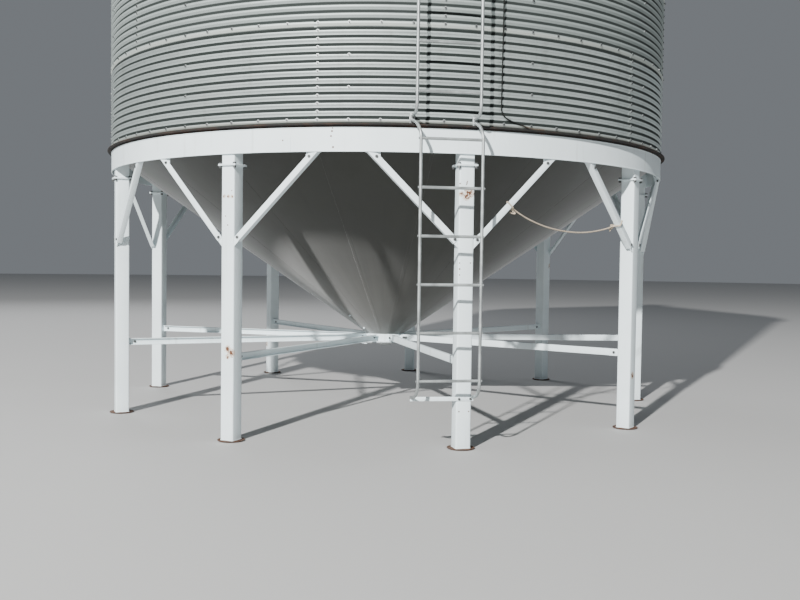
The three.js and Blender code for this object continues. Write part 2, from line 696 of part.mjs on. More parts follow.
// Angle round the bin, radius and height of each point that the cable passes.
const cableStations = [
  [CABLE_ANGLE, atLid, CABLE_LEAVES_LID],
  [CABLE_ANGLE, atLid + 20, CABLE_LEAVES_LID],
  [CABLE_ANGLE, atLid + 45, CABLE_LEAVES_LID - 20],
  [CABLE_ANGLE, atLid + 60, CABLE_LEAVES_LID - 55],
  [CABLE_ANGLE, atLid + 75, CABLE_LEAVES_LID - 120],
  [CABLE_ANGLE, atLid + 115, overRoof(atLid + 115)],
  ...[60, 30, 0].map(roundEave),
  [CABLE_ANGLE, eaveRadius + CABLE_BEND, roofUnder(eaveRadius)],
  [CABLE_ANGLE, atWall + 1, 2760],
  [18.5, atWall, 2715], [19.2, atWall, 2684], [20.1, atWall, 2665], [21.2, atWall, 2649],
  [22.3, atWall, 2635], [23.3, atWall + 3, 2622], [24.2, atWall + 9, onFlange],
  [25.1, atWall + 14, onFlange], [26, atWall + 16, onFlange],
];
const cableRoute = cableStations.map(([angle, radius, z]) => (
  new THREE.Vector3(0, -radius, z).applyAxisAngle(UP, rad(angle))
));
addMesh(silo, "lid_cable", closed(bentBar(cableRoute, CABLE_RADIUS, 8)), darkCable);

// Rope: a loop round each of the two braces, and the slack run between them

const ropeLoops = [
  { angle: FIRST_POST, side: 1, share: 0.475 },
  { angle: FIRST_POST + POST_STEP, side: -1, share: 0.325 },
];
const loopReach = 2 * ROPE_RADIUS + GAP;

function ropeLoop({ angle, side, share }) {
  const half = BRACE_LEG / 2;
  const middle = share * braceLength;
  const outer = block(
    [-half - loopReach, -loopReach, middle - ROPE_RADIUS],
    [half + loopReach, BRACE_LEG + loopReach, middle + ROPE_RADIUS],
  );
  const inner = block(
    [-half - GAP, -GAP, middle - 2 * ROPE_RADIUS],
    [half + GAP, BRACE_LEG + GAP, middle + 2 * ROPE_RADIUS],
  );
  const loop = solid(alongBrace(outer, side)).subtract(solid(alongBrace(inner, side)));
  return loop.rotate([0, 0, angle]);
}

const ropeCurve = new THREE.CatmullRomCurve3(ROPE_ROUTE.map((point) => new THREE.Vector3(...point)));
const ropeRun = solid(bentBar(ropeCurve.getSpacedPoints(ROPE_STEPS), ROPE_RADIUS, 8));
const ropeShapes = [ropeRun, ...ropeLoops.map(ropeLoop)];
addMesh(silo, "rope", fromSolid(joined(ropeShapes)), ropeFibre);

export default silo;
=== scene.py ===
"""Surface detail for a hopper-bottom grain silo: a corrugated bin on a cone hopper and nine posts.

Metres, +Z up. The origin is on the bin's axis at ground level. Angles go round the axis
from the front (-Y) towards the right (+X), in degrees unless a name says otherwise.
"""

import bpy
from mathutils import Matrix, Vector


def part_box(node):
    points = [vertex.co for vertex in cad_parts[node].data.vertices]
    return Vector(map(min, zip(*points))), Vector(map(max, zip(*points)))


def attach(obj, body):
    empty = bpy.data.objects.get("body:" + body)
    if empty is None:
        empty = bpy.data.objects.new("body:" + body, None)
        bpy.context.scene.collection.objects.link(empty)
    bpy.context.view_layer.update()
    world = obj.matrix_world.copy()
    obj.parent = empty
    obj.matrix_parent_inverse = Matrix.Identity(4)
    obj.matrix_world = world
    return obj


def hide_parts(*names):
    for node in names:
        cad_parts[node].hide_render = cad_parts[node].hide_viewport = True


bl_info = {
    "name": "Grain Silo Detail",
    "version": (1, 0, 0),
    "blender": (4, 5, 0),
    "location": "View3D > Sidebar > Silo",
    "description": "Dresses a hopper-bottom grain silo with sheets, bolts, finishes and light",
    "category": "Object",
}

import math

import bmesh
import bpy
import numpy as np
from bpy.props import FloatProperty, FloatVectorProperty, IntProperty, PointerProperty
from mathutils import Matrix, Vector

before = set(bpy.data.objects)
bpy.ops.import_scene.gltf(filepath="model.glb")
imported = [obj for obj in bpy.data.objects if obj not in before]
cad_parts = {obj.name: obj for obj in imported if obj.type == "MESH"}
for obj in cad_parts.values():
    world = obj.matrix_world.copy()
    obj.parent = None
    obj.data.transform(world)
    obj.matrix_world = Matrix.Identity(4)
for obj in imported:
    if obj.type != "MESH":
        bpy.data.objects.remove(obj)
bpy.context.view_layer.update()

TAU = 2 * math.pi
SIDES = 216  # sides of the big rings
SMALL_SIDES = 96  # and of the outlet and the lid
SHARP_ANGLE = 38  # degrees between faces from which an edge stays sharp
SEAT = 0.0003  # left between pieces that touch
WELD_RADIUS = 0.004

# Camera at eye level in front of the silo, and the soft lamps round it
CAMERA_PLACE = (0, -10.316, 1.506)
CAMERA_TURN = (0.889, -2.247, -0.749)  # yaw to the right, pitch upwards and roll, in degrees
CAMERA_LENS = 42.0
CAMERA_SENSOR = 36.0
CAMERA_REACH = 300.0
LAMP_TARGET = (0, 0, 2.6)
LAMPS = [  # name, angle, distance, height, power, width, tint
    ("key", -22.0, 38.0, 20.85, 44000, 1.0, (1.0, 0.99, 0.97)),
    ("fill", 110, 20.0, 14.0, 150, 9.0, (0.90, 0.95, 1.0)),
    ("back", -150, 20.0, 14.0, 1500, 9.0, (0.95, 0.97, 1.0)),
]
SKY_TINT = (0.80, 0.86, 0.93, 1)
SKY_STRENGTH = 0.22
FLOOR_RADIUS = 90.0
FLOOR_DEPTH = 0.05

# Base ring, flange and cone hopper
RING_BOTTOM = 2.385
RING_TOP = 2.581
RING_RADIUS = 2.896
RING_STEEL = 0.006
RING_LIP = 0.003
RING_WELDS = (-15.6, 74.4, 144.4, -120.0)
FLANGE_OUTER = 2.936
FLANGE_INNER = 2.882
FLANGE_LIP = 0.014  # from the ring's top up to the curled lip
FLANGE_LIP_TOP = 0.025
CONE_SLOPE = 0.682
CONE_APEX = 0.599
CONE_STEEL = 0.005
CONE_RADIUS = 2.886
CONE_SEAMS = 18
FIRST_CONE_SEAM = 8.0
CONE_LUGS = ((-48.0, 0.501), (-49.1, 0.294))  # angle and radius
OUTLET_RADIUS = 0.203

# Posts
POST_COUNT = 9
POST_STEP = 360 / POST_COUNT
FIRST_POST = 12.9
POST_RADIUS = 2.817
POST_HALF = 0.0635
POST_CORNER = 0.012
POST_SQUARE = [
    (-POST_HALF, -POST_HALF), (POST_HALF, -POST_HALF), (POST_HALF, POST_HALF), (-POST_HALF, POST_HALF),
]
FOOT_RADIUS = 0.1145
FOOT_STEEL = 0.012
SPLICE_Z = 2.3
SPLICE_HALF = 0.085
SPLICE_STEEL = 0.007
SPLICE_JOINT = 0.00015  # from the splice's middle to each plate
SPLICE_BOLT = 0.071  # from the post's middle to each bolt, both ways

# Knee braces, with a welded tab behind each end
BRACE_LEG = 0.0508
BRACE_STEEL = 0.006
BRACE_FOOT_Z = 1.667
BRACE_SPREAD = 14.8  # degrees from the post to the brace's top
BRACE_REACH = 2.884
BRACE_START = 0.028  # the square cut at the foot, measured along the brace
BRACE_TOP = 2.3847
TAB_STEEL = 0.008
FOOT_TAB_LAP = 0.09
RING_TAB_LAP = 0.037
RING_TAB_TOP = 0.026
TAB_BEVEL = 0.0012

# Spider bars
BAR_Z = 0.7
BAR_DEPTH = 0.064
BAR_FLANGE = 0.032
BAR_STEEL = 0.005
BAR_START = 0.239
BAR_END = 2.7385
CLIP_LENGTH = 0.11
COLLAR_OUTER = 0.209
COLLAR_BOTTOM = 0.66
COLLAR_TAB_REACH = 0.11
COLLAR_BOLTS = (0.05, 0.085)  # out from the collar
BAR_BOLT = 0.06  # from a bar's end to the bolt through it

# Slide gate
GATE_HALF = 0.25
GATE_BACK = 0.7
GATE_TOP = 0.6597
GATE_STEEL = 0.008
GATE_SLOT_HALF = 0.19  # the hole in the frame behind the outlet
GATE_SLOT = (0.29, 0.64)
GATE_BOLTS = (-0.22, 0.0, 0.22, 0.45, 0.67)
PLATE_HALF = 0.22
PLATE_LENGTH = 0.48
PLATE_TOP = 0.6467
PLATE_STEEL = 0.005

# Wall
TIER_HEIGHT = 0.762
TIER_COUNT = 6
FIRST_SEAM = -11.16  # a vertical seam of the lowest tier
SEAM_STAGGER = 20.0
CREST_Z = 2.638  # lowest crest, which carries the lowest row of bolts
LONE_BOLT = -6.16
LONE_BOLT_STEP = 30
CRESTS = 12  # in one tier
SIDE_LAP = 0.035
LAP_LIFT = 0.0016  # how far an edge stands off the sheet under it
SHEET_COLUMNS = 26
ROWS_IN_WAVE = 8
DULLNESS = [0.0, 1.0, 0.8, 1.0, 0.7, 0.9]  # how far the weather has dulled each tier

# Roof
ROOF_SLOPE = math.tan(math.radians(30))
ROOF_RIBS = 24
FIRST_RIB = 3.3
FILL_RADIUS = 0.305
FILL_OUTER = 0.31
LID_INNER = 0.314
LID_OUTER = 0.319
LID_RIM = 0.07

# Ladders
RAIL_RADIUS = 0.0125
RUNG_RADIUS = 0.0118
UPPER_ANGLE = 8.9
UPPER_HALF = 0.254
UPPER_REACH = 3.08
UPPER_PITCH = 0.381
UPPER_FIRST_RUNG = 2.835
UPPER_RUNGS = 12
UPPER_FEET = (2.670, 2.659)  # heights where the rails end on the wall
LOWER_ANGLE = 9.4
LOWER_HALF = 0.2475
LOWER_REACH = 3.085
LOWER_PITCH = 0.377
LOWER_FIRST_RUNG = 0.589
LOWER_RUNGS = 6
LOWER_HEADS = ((-0.289, 2.651), (0.227, 2.642))  # where the rails end on the wall: across, height
LOWER_FEET = ((-0.443, 0.430), (0.070, 0.427))  # and on the crossbar, across from the front post
RAIL_BEND = 0.11
RAIL_FROM_WALL = 0.039  # where a rail's line starts, inside the wall's outer face
FOOT_SWEEP = 0.155  # height over which the lower rails bend in to the crossbar
HANDRAIL_TOP = 0.33  # above the wall's top
HANDRAIL_END = 0.15
HANDRAIL_BACK = 0.4
STANDOFF_TIERS = (2.15, 3.65, 5.15)

# Crossbar that ties the ladder's foot to the front post
CROSSBAR_ENDS = (-0.45, 0.08)
CROSSBAR_Z = 0.421
CROSSBAR_DEPTH = 0.035
CROSSBAR_STEEL = 0.006
CROSSBAR_TILT = 1.0
CROSSBAR_BOLTS = (-0.042, 0.054)

# Cable from the lid down the roof and the wall to the flange: angle, radius and height of each point
CABLE_RADIUS = 0.0056
CABLE_STATIONS = [
    (18.3, 0.3193, 8.8260), (18.3, 0.3393, 8.8260), (18.3, 0.3643, 8.8060), (18.3, 0.3793, 8.7710),
    (18.3, 0.3943, 8.7060), (18.3, 0.4343, 8.6415), (18.3, 2.9897, 7.1671), (18.3, 2.9924, 7.1644),
    (18.3, 2.9934, 7.1607), (18.3, 2.9934, 7.1307), (18.3, 2.9106, 2.7600), (18.5, 2.9096, 2.7150),
    (19.2, 2.9096, 2.6840), (20.1, 2.9096, 2.6650), (21.2, 2.9096, 2.6490), (22.3, 2.9096, 2.6350),
    (23.3, 2.9126, 2.6220), (24.2, 2.9186, 2.6129), (25.1, 2.9236, 2.6129), (26.0, 2.9256, 2.6129),
]

# Rope tied between two knee braces
ROPE_RADIUS = 0.0065
ROPE_STRANDS = 3
ROPE_LAY = 0.08  # one turn's length
ROPE_START = {"angle": FIRST_POST, "side": 1, "share": 0.475, "knot": (0.0616, 0.0374)}
ROPE_END = {"angle": FIRST_POST + POST_STEP, "side": -1, "share": 0.325, "knot": (0.032, 0.072)}
ROPE_POINTS = [
    (1.023, -2.651, 1.972), (1.047, -2.631, 1.959), (1.080, -2.607, 1.939), (1.120, -2.579, 1.917),
    (1.165, -2.547, 1.895), (1.220, -2.507, 1.873), (1.285, -2.460, 1.850), (1.360, -2.407, 1.829),
    (1.440, -2.349, 1.813), (1.520, -2.292, 1.802), (1.600, -2.234, 1.796), (1.680, -2.177, 1.795),
    (1.760, -2.120, 1.800), (1.840, -2.062, 1.811), (1.915, -2.008, 1.826), (1.985, -1.958, 1.845),
    (2.045, -1.915, 1.867),
]

wall_low, wall_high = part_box("wall")
lid_low, lid_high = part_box("fill_lid")
WALL_BOTTOM = wall_low.z
WALL_TOP = wall_high.z
WALL_OUTER = wall_high.x
EAVE_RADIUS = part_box("roof")[1].x - 0.001


def sector(angle):
    """The frame that faces outwards at an angle: x runs round the bin and y points in to the axis."""
    return Matrix.Rotation(math.radians(angle), 4, "Z")


def at(angle, radius, height, aside=0.0):
    """A point at an angle and radius, with an offset round the bin."""
    return sector(angle) @ Vector((aside, -radius, height))


def outward(angle):
    return sector(angle) @ Vector((0, -1, 0))


def post_places():
    """The frame that faces outwards through each post, in turn."""
    return [sector(FIRST_POST + i * POST_STEP) for i in range(POST_COUNT)]


def cone_outer(radius):
    """The height of the cone's outer face at a radius."""
    return CONE_APEX + CONE_SLOPE * radius


def over_roof(radius, lift):
    """A height over the roof's underside at a radius."""
    return WALL_TOP + (WALL_OUTER - radius) * ROOF_SLOPE + lift


# Solids

class Solids:
    """Closed solids gathered into one mesh, each with its faces turned outwards."""

    def __init__(self):
        self.points = []
        self.faces = []

    def add(self, shape, place=None):
        points, faces = shape
        points = np.asarray(points, float)
        if place is not None:
            turn = np.array(place)
            points = points @ turn[:3, :3].T + turn[:3, 3]
        volume = 0.0
        for face in faces:
            first = points[face[0]]
            for second, third in zip(face[1:-1], face[2:]):
                volume += first @ np.cross(points[second], points[third])
        start = len(self.points)
        step = 1 if volume > 0 else -1
        self.faces += [[start + corner for corner in face[::step]] for face in faces]
        self.points += points.tolist()
        return self

    def mesh(self, name):
        mesh = bpy.data.meshes.new(name)
        mesh.from_pydata(self.points, [], self.faces)
        return mesh


def edges_broken(shape, bevel):
    """The points and faces of a bmesh with its edges broken. The bmesh is then freed."""
    bmesh.ops.bevel(shape, geom=shape.edges[:], offset=bevel, segments=2, affect="EDGES", profile=0.5)
    shape.verts.index_update()
    points = [tuple(vertex.co) for vertex in shape.verts]
    faces = [[vertex.index for vertex in face.verts] for face in shape.faces]
    shape.free()
    return points, faces


def block(low, high, bevel=0.0015):
    """A box between two corners, with its edges broken."""
    box = bmesh.new()
    bmesh.ops.create_cube(box, size=1.0)
    low, high = Vector(low), Vector(high)
    for vertex in box.verts:
        vertex.co = [a + (b - a) * (share + 0.5) for a, b, share in zip(low, high, vertex.co)]
    return edges_broken(box, bevel)


def softened(shape, bevel):
    """A solid with its edges broken."""
    soft = bmesh.new()
    vertices = [soft.verts.new(point) for point in shape[0]]
    for face in shape[1]:
        soft.faces.new([vertices[corner] for corner in face])
    bmesh.ops.recalc_face_normals(soft, faces=soft.faces[:])
    return edges_broken(soft, bevel)


def bend_points(start, corner, end, steps):
    """Points on the even bend from start to end, whose straight runs would meet at the corner."""
    shares = [step / steps for step in range(steps + 1)]
    return [start * (1 - s) ** 2 + corner * 2 * s * (1 - s) + end * s ** 2 for s in shares]


def rounded(corners, radius, cuts=3, closed=True):
    """Straight runs between corners, with each corner rounded off over a given reach."""
    corners = [Vector(corner) for corner in corners]
    count = len(corners)
    radii = radius if isinstance(radius, (list, tuple)) else [radius] * count
    points = []
    for i, here in enumerate(corners):
        if radii[i] == 0 or (not closed and i in (0, count - 1)):
            points.append(here)
            continue
        before, after = corners[i - 1] - here, corners[(i + 1) % count] - here
        reach = min(radii[i], before.length * 0.45, after.length * 0.45)
        start, end = here + before.normalized() * reach, here + after.normalized() * reach
        points += bend_points(start, here, end, cuts)
    return points


def prism(outline, low, high):
    """An outline drawn out along z. Each end is a height, or a function of the outline's point."""
    count = len(outline)
    ends = [end if callable(end) else (lambda x, y, height=end: height) for end in (low, high)]
    points = [(x, y, end(x, y)) for end in ends for x, y in outline]
    faces = [list(range(count))[::-1], list(range(count, 2 * count))]
    for i in range(count):
        after = (i + 1) % count
        faces.append([i, after, count + after, count + i])
    return points, faces


def turned(profile, sides=SIDES):
    """A solid turned round the axis from a closed outline of radius and height."""
    rings, points = [], []
    for radius, height in profile:
        if radius < 1e-6:
            rings.append([len(points)] * sides)
            points.append((0, 0, height))
            continue
        rings.append(list(range(len(points), len(points) + sides)))
        for i in range(sides):
            angle = TAU * i / sides
            points.append((math.sin(angle) * radius, -math.cos(angle) * radius, height))
    faces = []
    for one, two in zip(rings, rings[1:] + rings[:1]):
        for i in range(sides):
            after = (i + 1) % sides
            face = list(dict.fromkeys([one[i], one[after], two[after], two[i]]))
            if len(face) > 2:
                faces.append(face)
    return points, faces


def smooth_route(points, cuts=4):
    """A smooth curve through the points."""
    points = [Vector(point) for point in points]
    padded = [points[0] * 2 - points[1]] + points + [points[-1] * 2 - points[-2]]
    route = []
    for i in range(1, len(padded) - 2):
        a, b, c, d = padded[i - 1:i + 3]
        for cut in range(cuts):
            t = cut / cuts
            route.append(0.5 * (b * 2 + (c - a) * t + (a * 2 - b * 5 + c * 4 - d) * t * t
                                + (b * 3 - a - c * 3 + d) * t ** 3))
    return route + [points[-1]]


def tube(route, radius, sides=12, closed=False, strands=0):
    """A round bar along a route, or with strands a laid rope."""
    route = [Vector(point) for point in route]
    count = len(route)
    tangents = []
    for i in range(count):
        before = route[i - 1] if closed or i else route[i]
        after = route[(i + 1) % count] if closed or i < count - 1 else route[i]
        tangents.append((after - before).normalized())
    normal = tangents[0].orthogonal().normalized()
    points, walked = [], 0.0
    for i, (here, tangent) in enumerate(zip(route, tangents)):
        if i:
            walked += (here - route[i - 1]).length
        normal = (normal - tangent * normal.dot(tangent)).normalized()
        side = tangent.cross(normal)
        for k in range(sides):
            angle = TAU * k / sides
            reach = radius
            if strands:
                reach *= 0.8 + 0.2 * abs(math.cos(strands / 2 * (angle - TAU * walked / ROPE_LAY)))
            points.append(here + normal * math.cos(angle) * reach + side * math.sin(angle) * reach)
    faces = []
    for i in range(count if closed else count - 1):
        one, two = i * sides, (i + 1) % count * sides
        for k in range(sides):
            after = (k + 1) % sides
            faces.append([one + k, one + after, two + after, two + k])
    if not closed:
        faces += [list(range(sides))[::-1], list(range((count - 1) * sides, count * sides))]
    return [tuple(point) for point in points], faces


def show(name, mesh, make_finish, replaces=(), body="silo"):
    """Puts a finished mesh in the scene as a piece that moves with a body."""
    if isinstance(mesh, Solids):
        mesh = mesh.mesh(name)
        mesh.materials.append(finish(make_finish))
    mesh.shade_smooth()
    mesh.set_sharp_from_angle(angle=math.radians(SHARP_ANGLE))
    piece = bpy.data.objects.new(name, mesh)
    bpy.context.scene.collection.objects.link(piece)
    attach(piece, body)
    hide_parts(*replaces)
    return piece


# Node trees

class Quantity:
    """A socket that can be written into a formula."""

    def __init__(self, web, socket):
        self.web = web
        self.socket = socket

    def __add__(self, other):
        return self.web.math("ADD", self, other)

    def __sub__(self, other):
        return self.web.math("SUBTRACT", self, other)

    def __rsub__(self, other):
        return self.web.math("SUBTRACT", other, self)

    def __mul__(self, other):
        return self.web.math("MULTIPLY", self, other)

    def __truediv__(self, other):
        return self.web.math("DIVIDE", self, other)

    __radd__ = __add__
    __rmul__ = __mul__


class Web:
    """Builds a node tree a node at a time."""

    def __init__(self, tree):
        self.tree = tree
        self.inputs = {}

    def node(self, kind, values=None, **settings):
        node = self.tree.nodes.new(kind)
        node.location = (180 * len(self.tree.nodes), 0)
        for key, value in settings.items():
            setattr(node, key, value)
        for key, value in (values or {}).items():
            if isinstance(value, Quantity):
                self.tree.links.new(value.socket, node.inputs[key])
            else:
                node.inputs[key].default_value = value
        return node

    def take(self, kind, output, values=None, **settings):
        return Quantity(self, self.node(kind, values, **settings).outputs[output])

    def math(self, operation, first, second=0.0):
        return self.take("ShaderNodeMath", 0, {0: first, 1: second}, operation=operation)

    def combine(self, x, y, z):
        return self.take("ShaderNodeCombineXYZ", 0, {0: x, 1: y, 2: z})

    def split(self, vector):
        node = self.node("ShaderNodeSeparateXYZ", {0: vector})
        return [Quantity(self, output) for output in node.outputs]

    def spread(self, value, low, high, to_low=0.0, to_high=1.0, kind="SMOOTHSTEP"):
        values = {"Value": value, "From Min": low, "From Max": high, "To Min": to_low, "To Max": to_high}
        return self.take("ShaderNodeMapRange", 0, values, interpolation_type=kind)


SOCKETS = {float: "NodeSocketFloat", int: "NodeSocketInt", Vector: "NodeSocketVector"}


def shape_tree(name, inputs, takes_geometry=False):
    """A new tree with named inputs for its sizes and its material."""
    tree = bpy.data.node_groups.new(name, "GeometryNodeTree")
    web = Web(tree)
    if takes_geometry:
        tree.interface.new_socket("Geometry", in_out="INPUT", socket_type="NodeSocketGeometry")
    for label, default in inputs.items():
        socket = tree.interface.new_socket(label, in_out="INPUT", socket_type=SOCKETS[type(default)])
        socket.default_value = default
    tree.interface.new_socket("Material", in_out="INPUT", socket_type="NodeSocketMaterial")
    tree.interface.new_socket("Geometry", in_out="OUTPUT", socket_type="NodeSocketGeometry")
    for socket in web.node("NodeGroupInput").outputs:
        web.inputs[socket.name] = Quantity(web, socket)
    return web


def join(web, *geometries):
    node = web.node("GeometryNodeJoinGeometry")
    for geometry in geometries:
        web.tree.links.new(geometry.socket, node.inputs[0])
    return Quantity(web, node.outputs[0])


def end_tree(web, geometry):
    """Turns the instances into mesh and gives them their material."""
    real = web.take("GeometryNodeRealizeInstances", 0, {"Geometry": geometry})
    done = web.take("GeometryNodeSetMaterial", 0, {"Geometry": real, "Material": web.inputs["Material"]})
    web.node("NodeGroupOutput", {"Geometry": done})
    return web.tree


def marked(web, geometry, label, value, domain="POINT"):
    """Stores a number on the geometry under a name that a finish reads."""
    values = {"Geometry": geometry, "Name": label, "Value": value}
    return web.take("GeometryNodeStoreNamedAttribute", 0, values, data_type="FLOAT", domain=domain)


def copies(web, points, shape, turn):
    """A copy of the shape at each point."""
    return web.take("GeometryNodeInstanceOnPoints", 0,
                    {"Points": points, "Instance": shape, "Rotation": turn})


def cylinder(web, sides, radius, depth):
    values = {"Vertices": sides, "Radius": radius, "Depth": depth}
    return web.take("GeometryNodeMeshCylinder", "Mesh", values)


def moved(web, geometry, offset=(0, 0, 0), turn=(0, 0, 0)):
    values = {"Geometry": geometry, "Translation": offset, "Rotation": turn}
    return web.take("GeometryNodeTransform", 0, values)


def corrugated_tier(name):
    """One tier of the wall: equal curved sheets whose side and lower edges lap over their neighbours."""
    web = shape_tree(name, {
        "Radius": 2.896, "Depth": 0.0127, "Pitch": 0.0635, "Low": 2.6, "Height": 0.8, "Crest": 2.638,
        "First Seam": 0.0, "Side Lap": 0.012, "Lift": 0.0016, "Sheets": 6, "Columns": 26, "Rows": 100,
        "Dullness": 0.0, "Seed": 0,
    })
    size = web.inputs
    sheet = web.take("GeometryNodeMeshGrid", "Mesh", {
        "Size X": 1.0, "Size Y": 1.0, "Vertices X": size["Columns"], "Vertices Y": size["Rows"],
    })
    across, up, _ = web.split(web.take("GeometryNodeInputPosition", 0))
    sheet_angle = web.math("DIVIDE", TAU, size["Sheets"])
    angle = (across + 0.5) * (sheet_angle + size["Side Lap"] * 2.0) - size["Side Lap"]
    rise = (up + 0.5) * size["Height"]
    phase = (rise + size["Low"] - size["Crest"]) / size["Pitch"] * TAU
    wave = web.math("COSINE", phase)
    lean = web.math("SINE", phase)
    side_lift = web.spread(angle, 0.0, size["Side Lap"] * 3.0, 1.0, 0.0)
    low_lift = web.spread(rise, size["Pitch"] * 0.7, size["Pitch"] * 1.5, 1.0, 0.0)
    reach = size["Radius"] + size["Depth"] * 0.5 * wave + (side_lift + low_lift) * size["Lift"]
    place = web.combine(
        web.math("SINE", angle) * reach, web.math("COSINE", angle) * reach * -1.0, rise + size["Low"],
    )
    lower_edge = web.spread(rise, size["Pitch"] * 0.3, size["Pitch"] * 0.65, 1.0, 0.0)
    side_edge = web.spread(angle, 0.0, size["Side Lap"] * 2.5, 1.0, 0.0)
    marks = {"crest": wave, "lean": lean, "lap": lower_edge, "seam": side_edge, "dull": size["Dullness"]}
    for label, value in marks.items():
        sheet = marked(web, sheet, label, value)
    sheet = web.take("GeometryNodeSetPosition", 0, {"Geometry": sheet, "Position": place})
    stations = web.take("GeometryNodeMeshLine", 0, {"Count": size["Sheets"], "Offset": (0, 0, 0)})
    index = web.take("GeometryNodeInputIndex", 0)
    turn = web.combine(0.0, 0.0, index * sheet_angle + size["First Seam"])
    ring = copies(web, stations, sheet, turn)
    return end_tree(web, marked(web, ring, "sheet_tint", random_float(web, size["Seed"]), "INSTANCE"))


def random_float(web, seed, low=0.0, high=1.0):
    """A random number for each point, from a fixed seed."""
    node = web.node("FunctionNodeRandomValue", data_type="FLOAT")
    named = {socket.name: socket for socket in node.inputs if socket.enabled}
    named["Min"].default_value = low
    named["Max"].default_value = high
    web.tree.links.new(seed.socket, named["Seed"])
    return Quantity(web, next(socket for socket in node.outputs if socket.enabled))


def bolts_on_points(name):
    """A hex head on a round washer at each point, square to the point's axis and turned at random."""
    web = shape_tree(name, {
        "Head Width": 0.013, "Head Height": 0.006, "Washer Width": 0.024, "Washer Height": 0.004,
        "Sunk": 0.001, "Washer Sides": 10, "Seed": 0,
    }, takes_geometry=True)
    size = web.inputs
    washer = cylinder(web, size["Washer Sides"], size["Washer Width"] * 0.5, size["Washer Height"])
    washer = moved(web, washer, web.combine(0.0, 0.0, size["Washer Height"] * 0.5 - size["Sunk"]))
    head = cylinder(web, 6, size["Head Width"] / math.sqrt(3), size["Head Height"])
    head = marked(web, head, "head", 1.0)
    lift = size["Washer Height"] - size["Sunk"] + size["Head Height"] * 0.5 - 0.0002
    head = moved(web, head, web.combine(0.0, 0.0, lift))
    axis = web.take("GeometryNodeInputNamedAttribute", 0, {"Name": "axis"}, data_type="FLOAT_VECTOR")
    facing = web.take("FunctionNodeAlignRotationToVector", 0, {"Vector": axis}, axis="Z")
    spin = web.take("FunctionNodeEulerToRotation", 0,
                    {0: web.combine(0.0, 0.0, random_float(web, size["Seed"], 0.0, TAU / 6))})
    turn = web.take("FunctionNodeRotateRotation", 0, {"Rotation": facing, "Rotate By": spin},
                    rotation_space="LOCAL")
    return end_tree(web, copies(web, size["Geometry"], join(web, washer, head), turn))


def round_the_axis(name):
    """Copies of the base shape at equal steps round the axis."""
    web = shape_tree(name, {"First Angle": 0.0, "Count": 12}, takes_geometry=True)
    size = web.inputs
    stations = web.take("GeometryNodeMeshLine", 0, {"Count": size["Count"], "Offset": (0, 0, 0)})
    step = web.math("DIVIDE", TAU, size["Count"])
    turn = web.combine(0.0, 0.0, web.take("GeometryNodeInputIndex", 0) * step + size["First Angle"])
    return end_tree(web, copies(web, stations, size["Geometry"], turn))


def ladder_rungs(name):
    """Rungs between two rails, each with a weld round the rail and a flattened end outside it."""
    web = shape_tree(name, {
        "Radius": 0.0118, "Half Width": 0.24, "Reach": 3.08, "First Height": 0.5, "Pitch": 0.381, "Rungs": 6,
        "Weld Radius": 0.0127, "Weld Length": 0.034, "End": 0.019, "Angle": 0.0,
    })
    size = web.inputs
    side_on = (0, math.pi / 2, 0)
    rung = moved(web, cylinder(web, 16, size["Radius"], size["Half Width"] * 2.0), turn=side_on)
    parts = [rung]
    for side in (-1.0, 1.0):
        rail = size["Half Width"] * side
        weld = cylinder(web, 16, size["Weld Radius"], size["Weld Length"])
        parts.append(moved(web, weld, web.combine(rail, 0.0, 0.0)))
        end = moved(web, cylinder(web, 12, size["Radius"] * 0.75, size["End"]), turn=side_on)
        parts.append(moved(web, end, web.combine(rail + size["End"] * (side / 2), 0.0, 0.0)))
    line = web.take("GeometryNodeMeshLine", 0, {
        "Count": size["Rungs"], "Offset": web.combine(0.0, 0.0, size["Pitch"]),
        "Start Location": web.combine(0.0, size["Reach"] * -1.0, size["First Height"]),
    })
    rungs = web.take("GeometryNodeInstanceOnPoints", 0, {"Points": line, "Instance": join(web, *parts)})
    rungs = moved(web, rungs, turn=web.combine(0.0, 0.0, size["Angle"]))
    return end_tree(web, rungs)


def grown(name, build, sizes, make_finish, base=None, sheet=None):
    """The plain mesh that a tree makes. A sheet thickness gives an open surface its metal."""
    tree = bpy.data.node_groups.get(build.__name__) or build(build.__name__)
    material = finish(make_finish)
    maker = bpy.data.objects.new(name + "_maker", base or bpy.data.meshes.new(name + "_maker"))
    bpy.context.scene.collection.objects.link(maker)
    modifier = maker.modifiers.new("Shape", "NODES")
    modifier.node_group = tree
    values = dict(sizes, Material=material)
    for item in tree.interface.items_tree:
        if item.in_out == "INPUT" and item.name in values:
            modifier[item.identifier] = values[item.name]
    if sheet:
        metal = maker.modifiers.new("Sheet", "SOLIDIFY")
        metal.thickness = sheet
        metal.offset = -1
    maker.update_tag()
    shown = maker.evaluated_get(bpy.context.evaluated_depsgraph_get())
    mesh = bpy.data.meshes.new_from_object(shown)
    mesh.name = name
    while mesh.materials[0] != material:
        mesh.materials.pop(index=0)
    maker.modifiers.clear()
    bpy.data.objects.remove(maker)
    return mesh


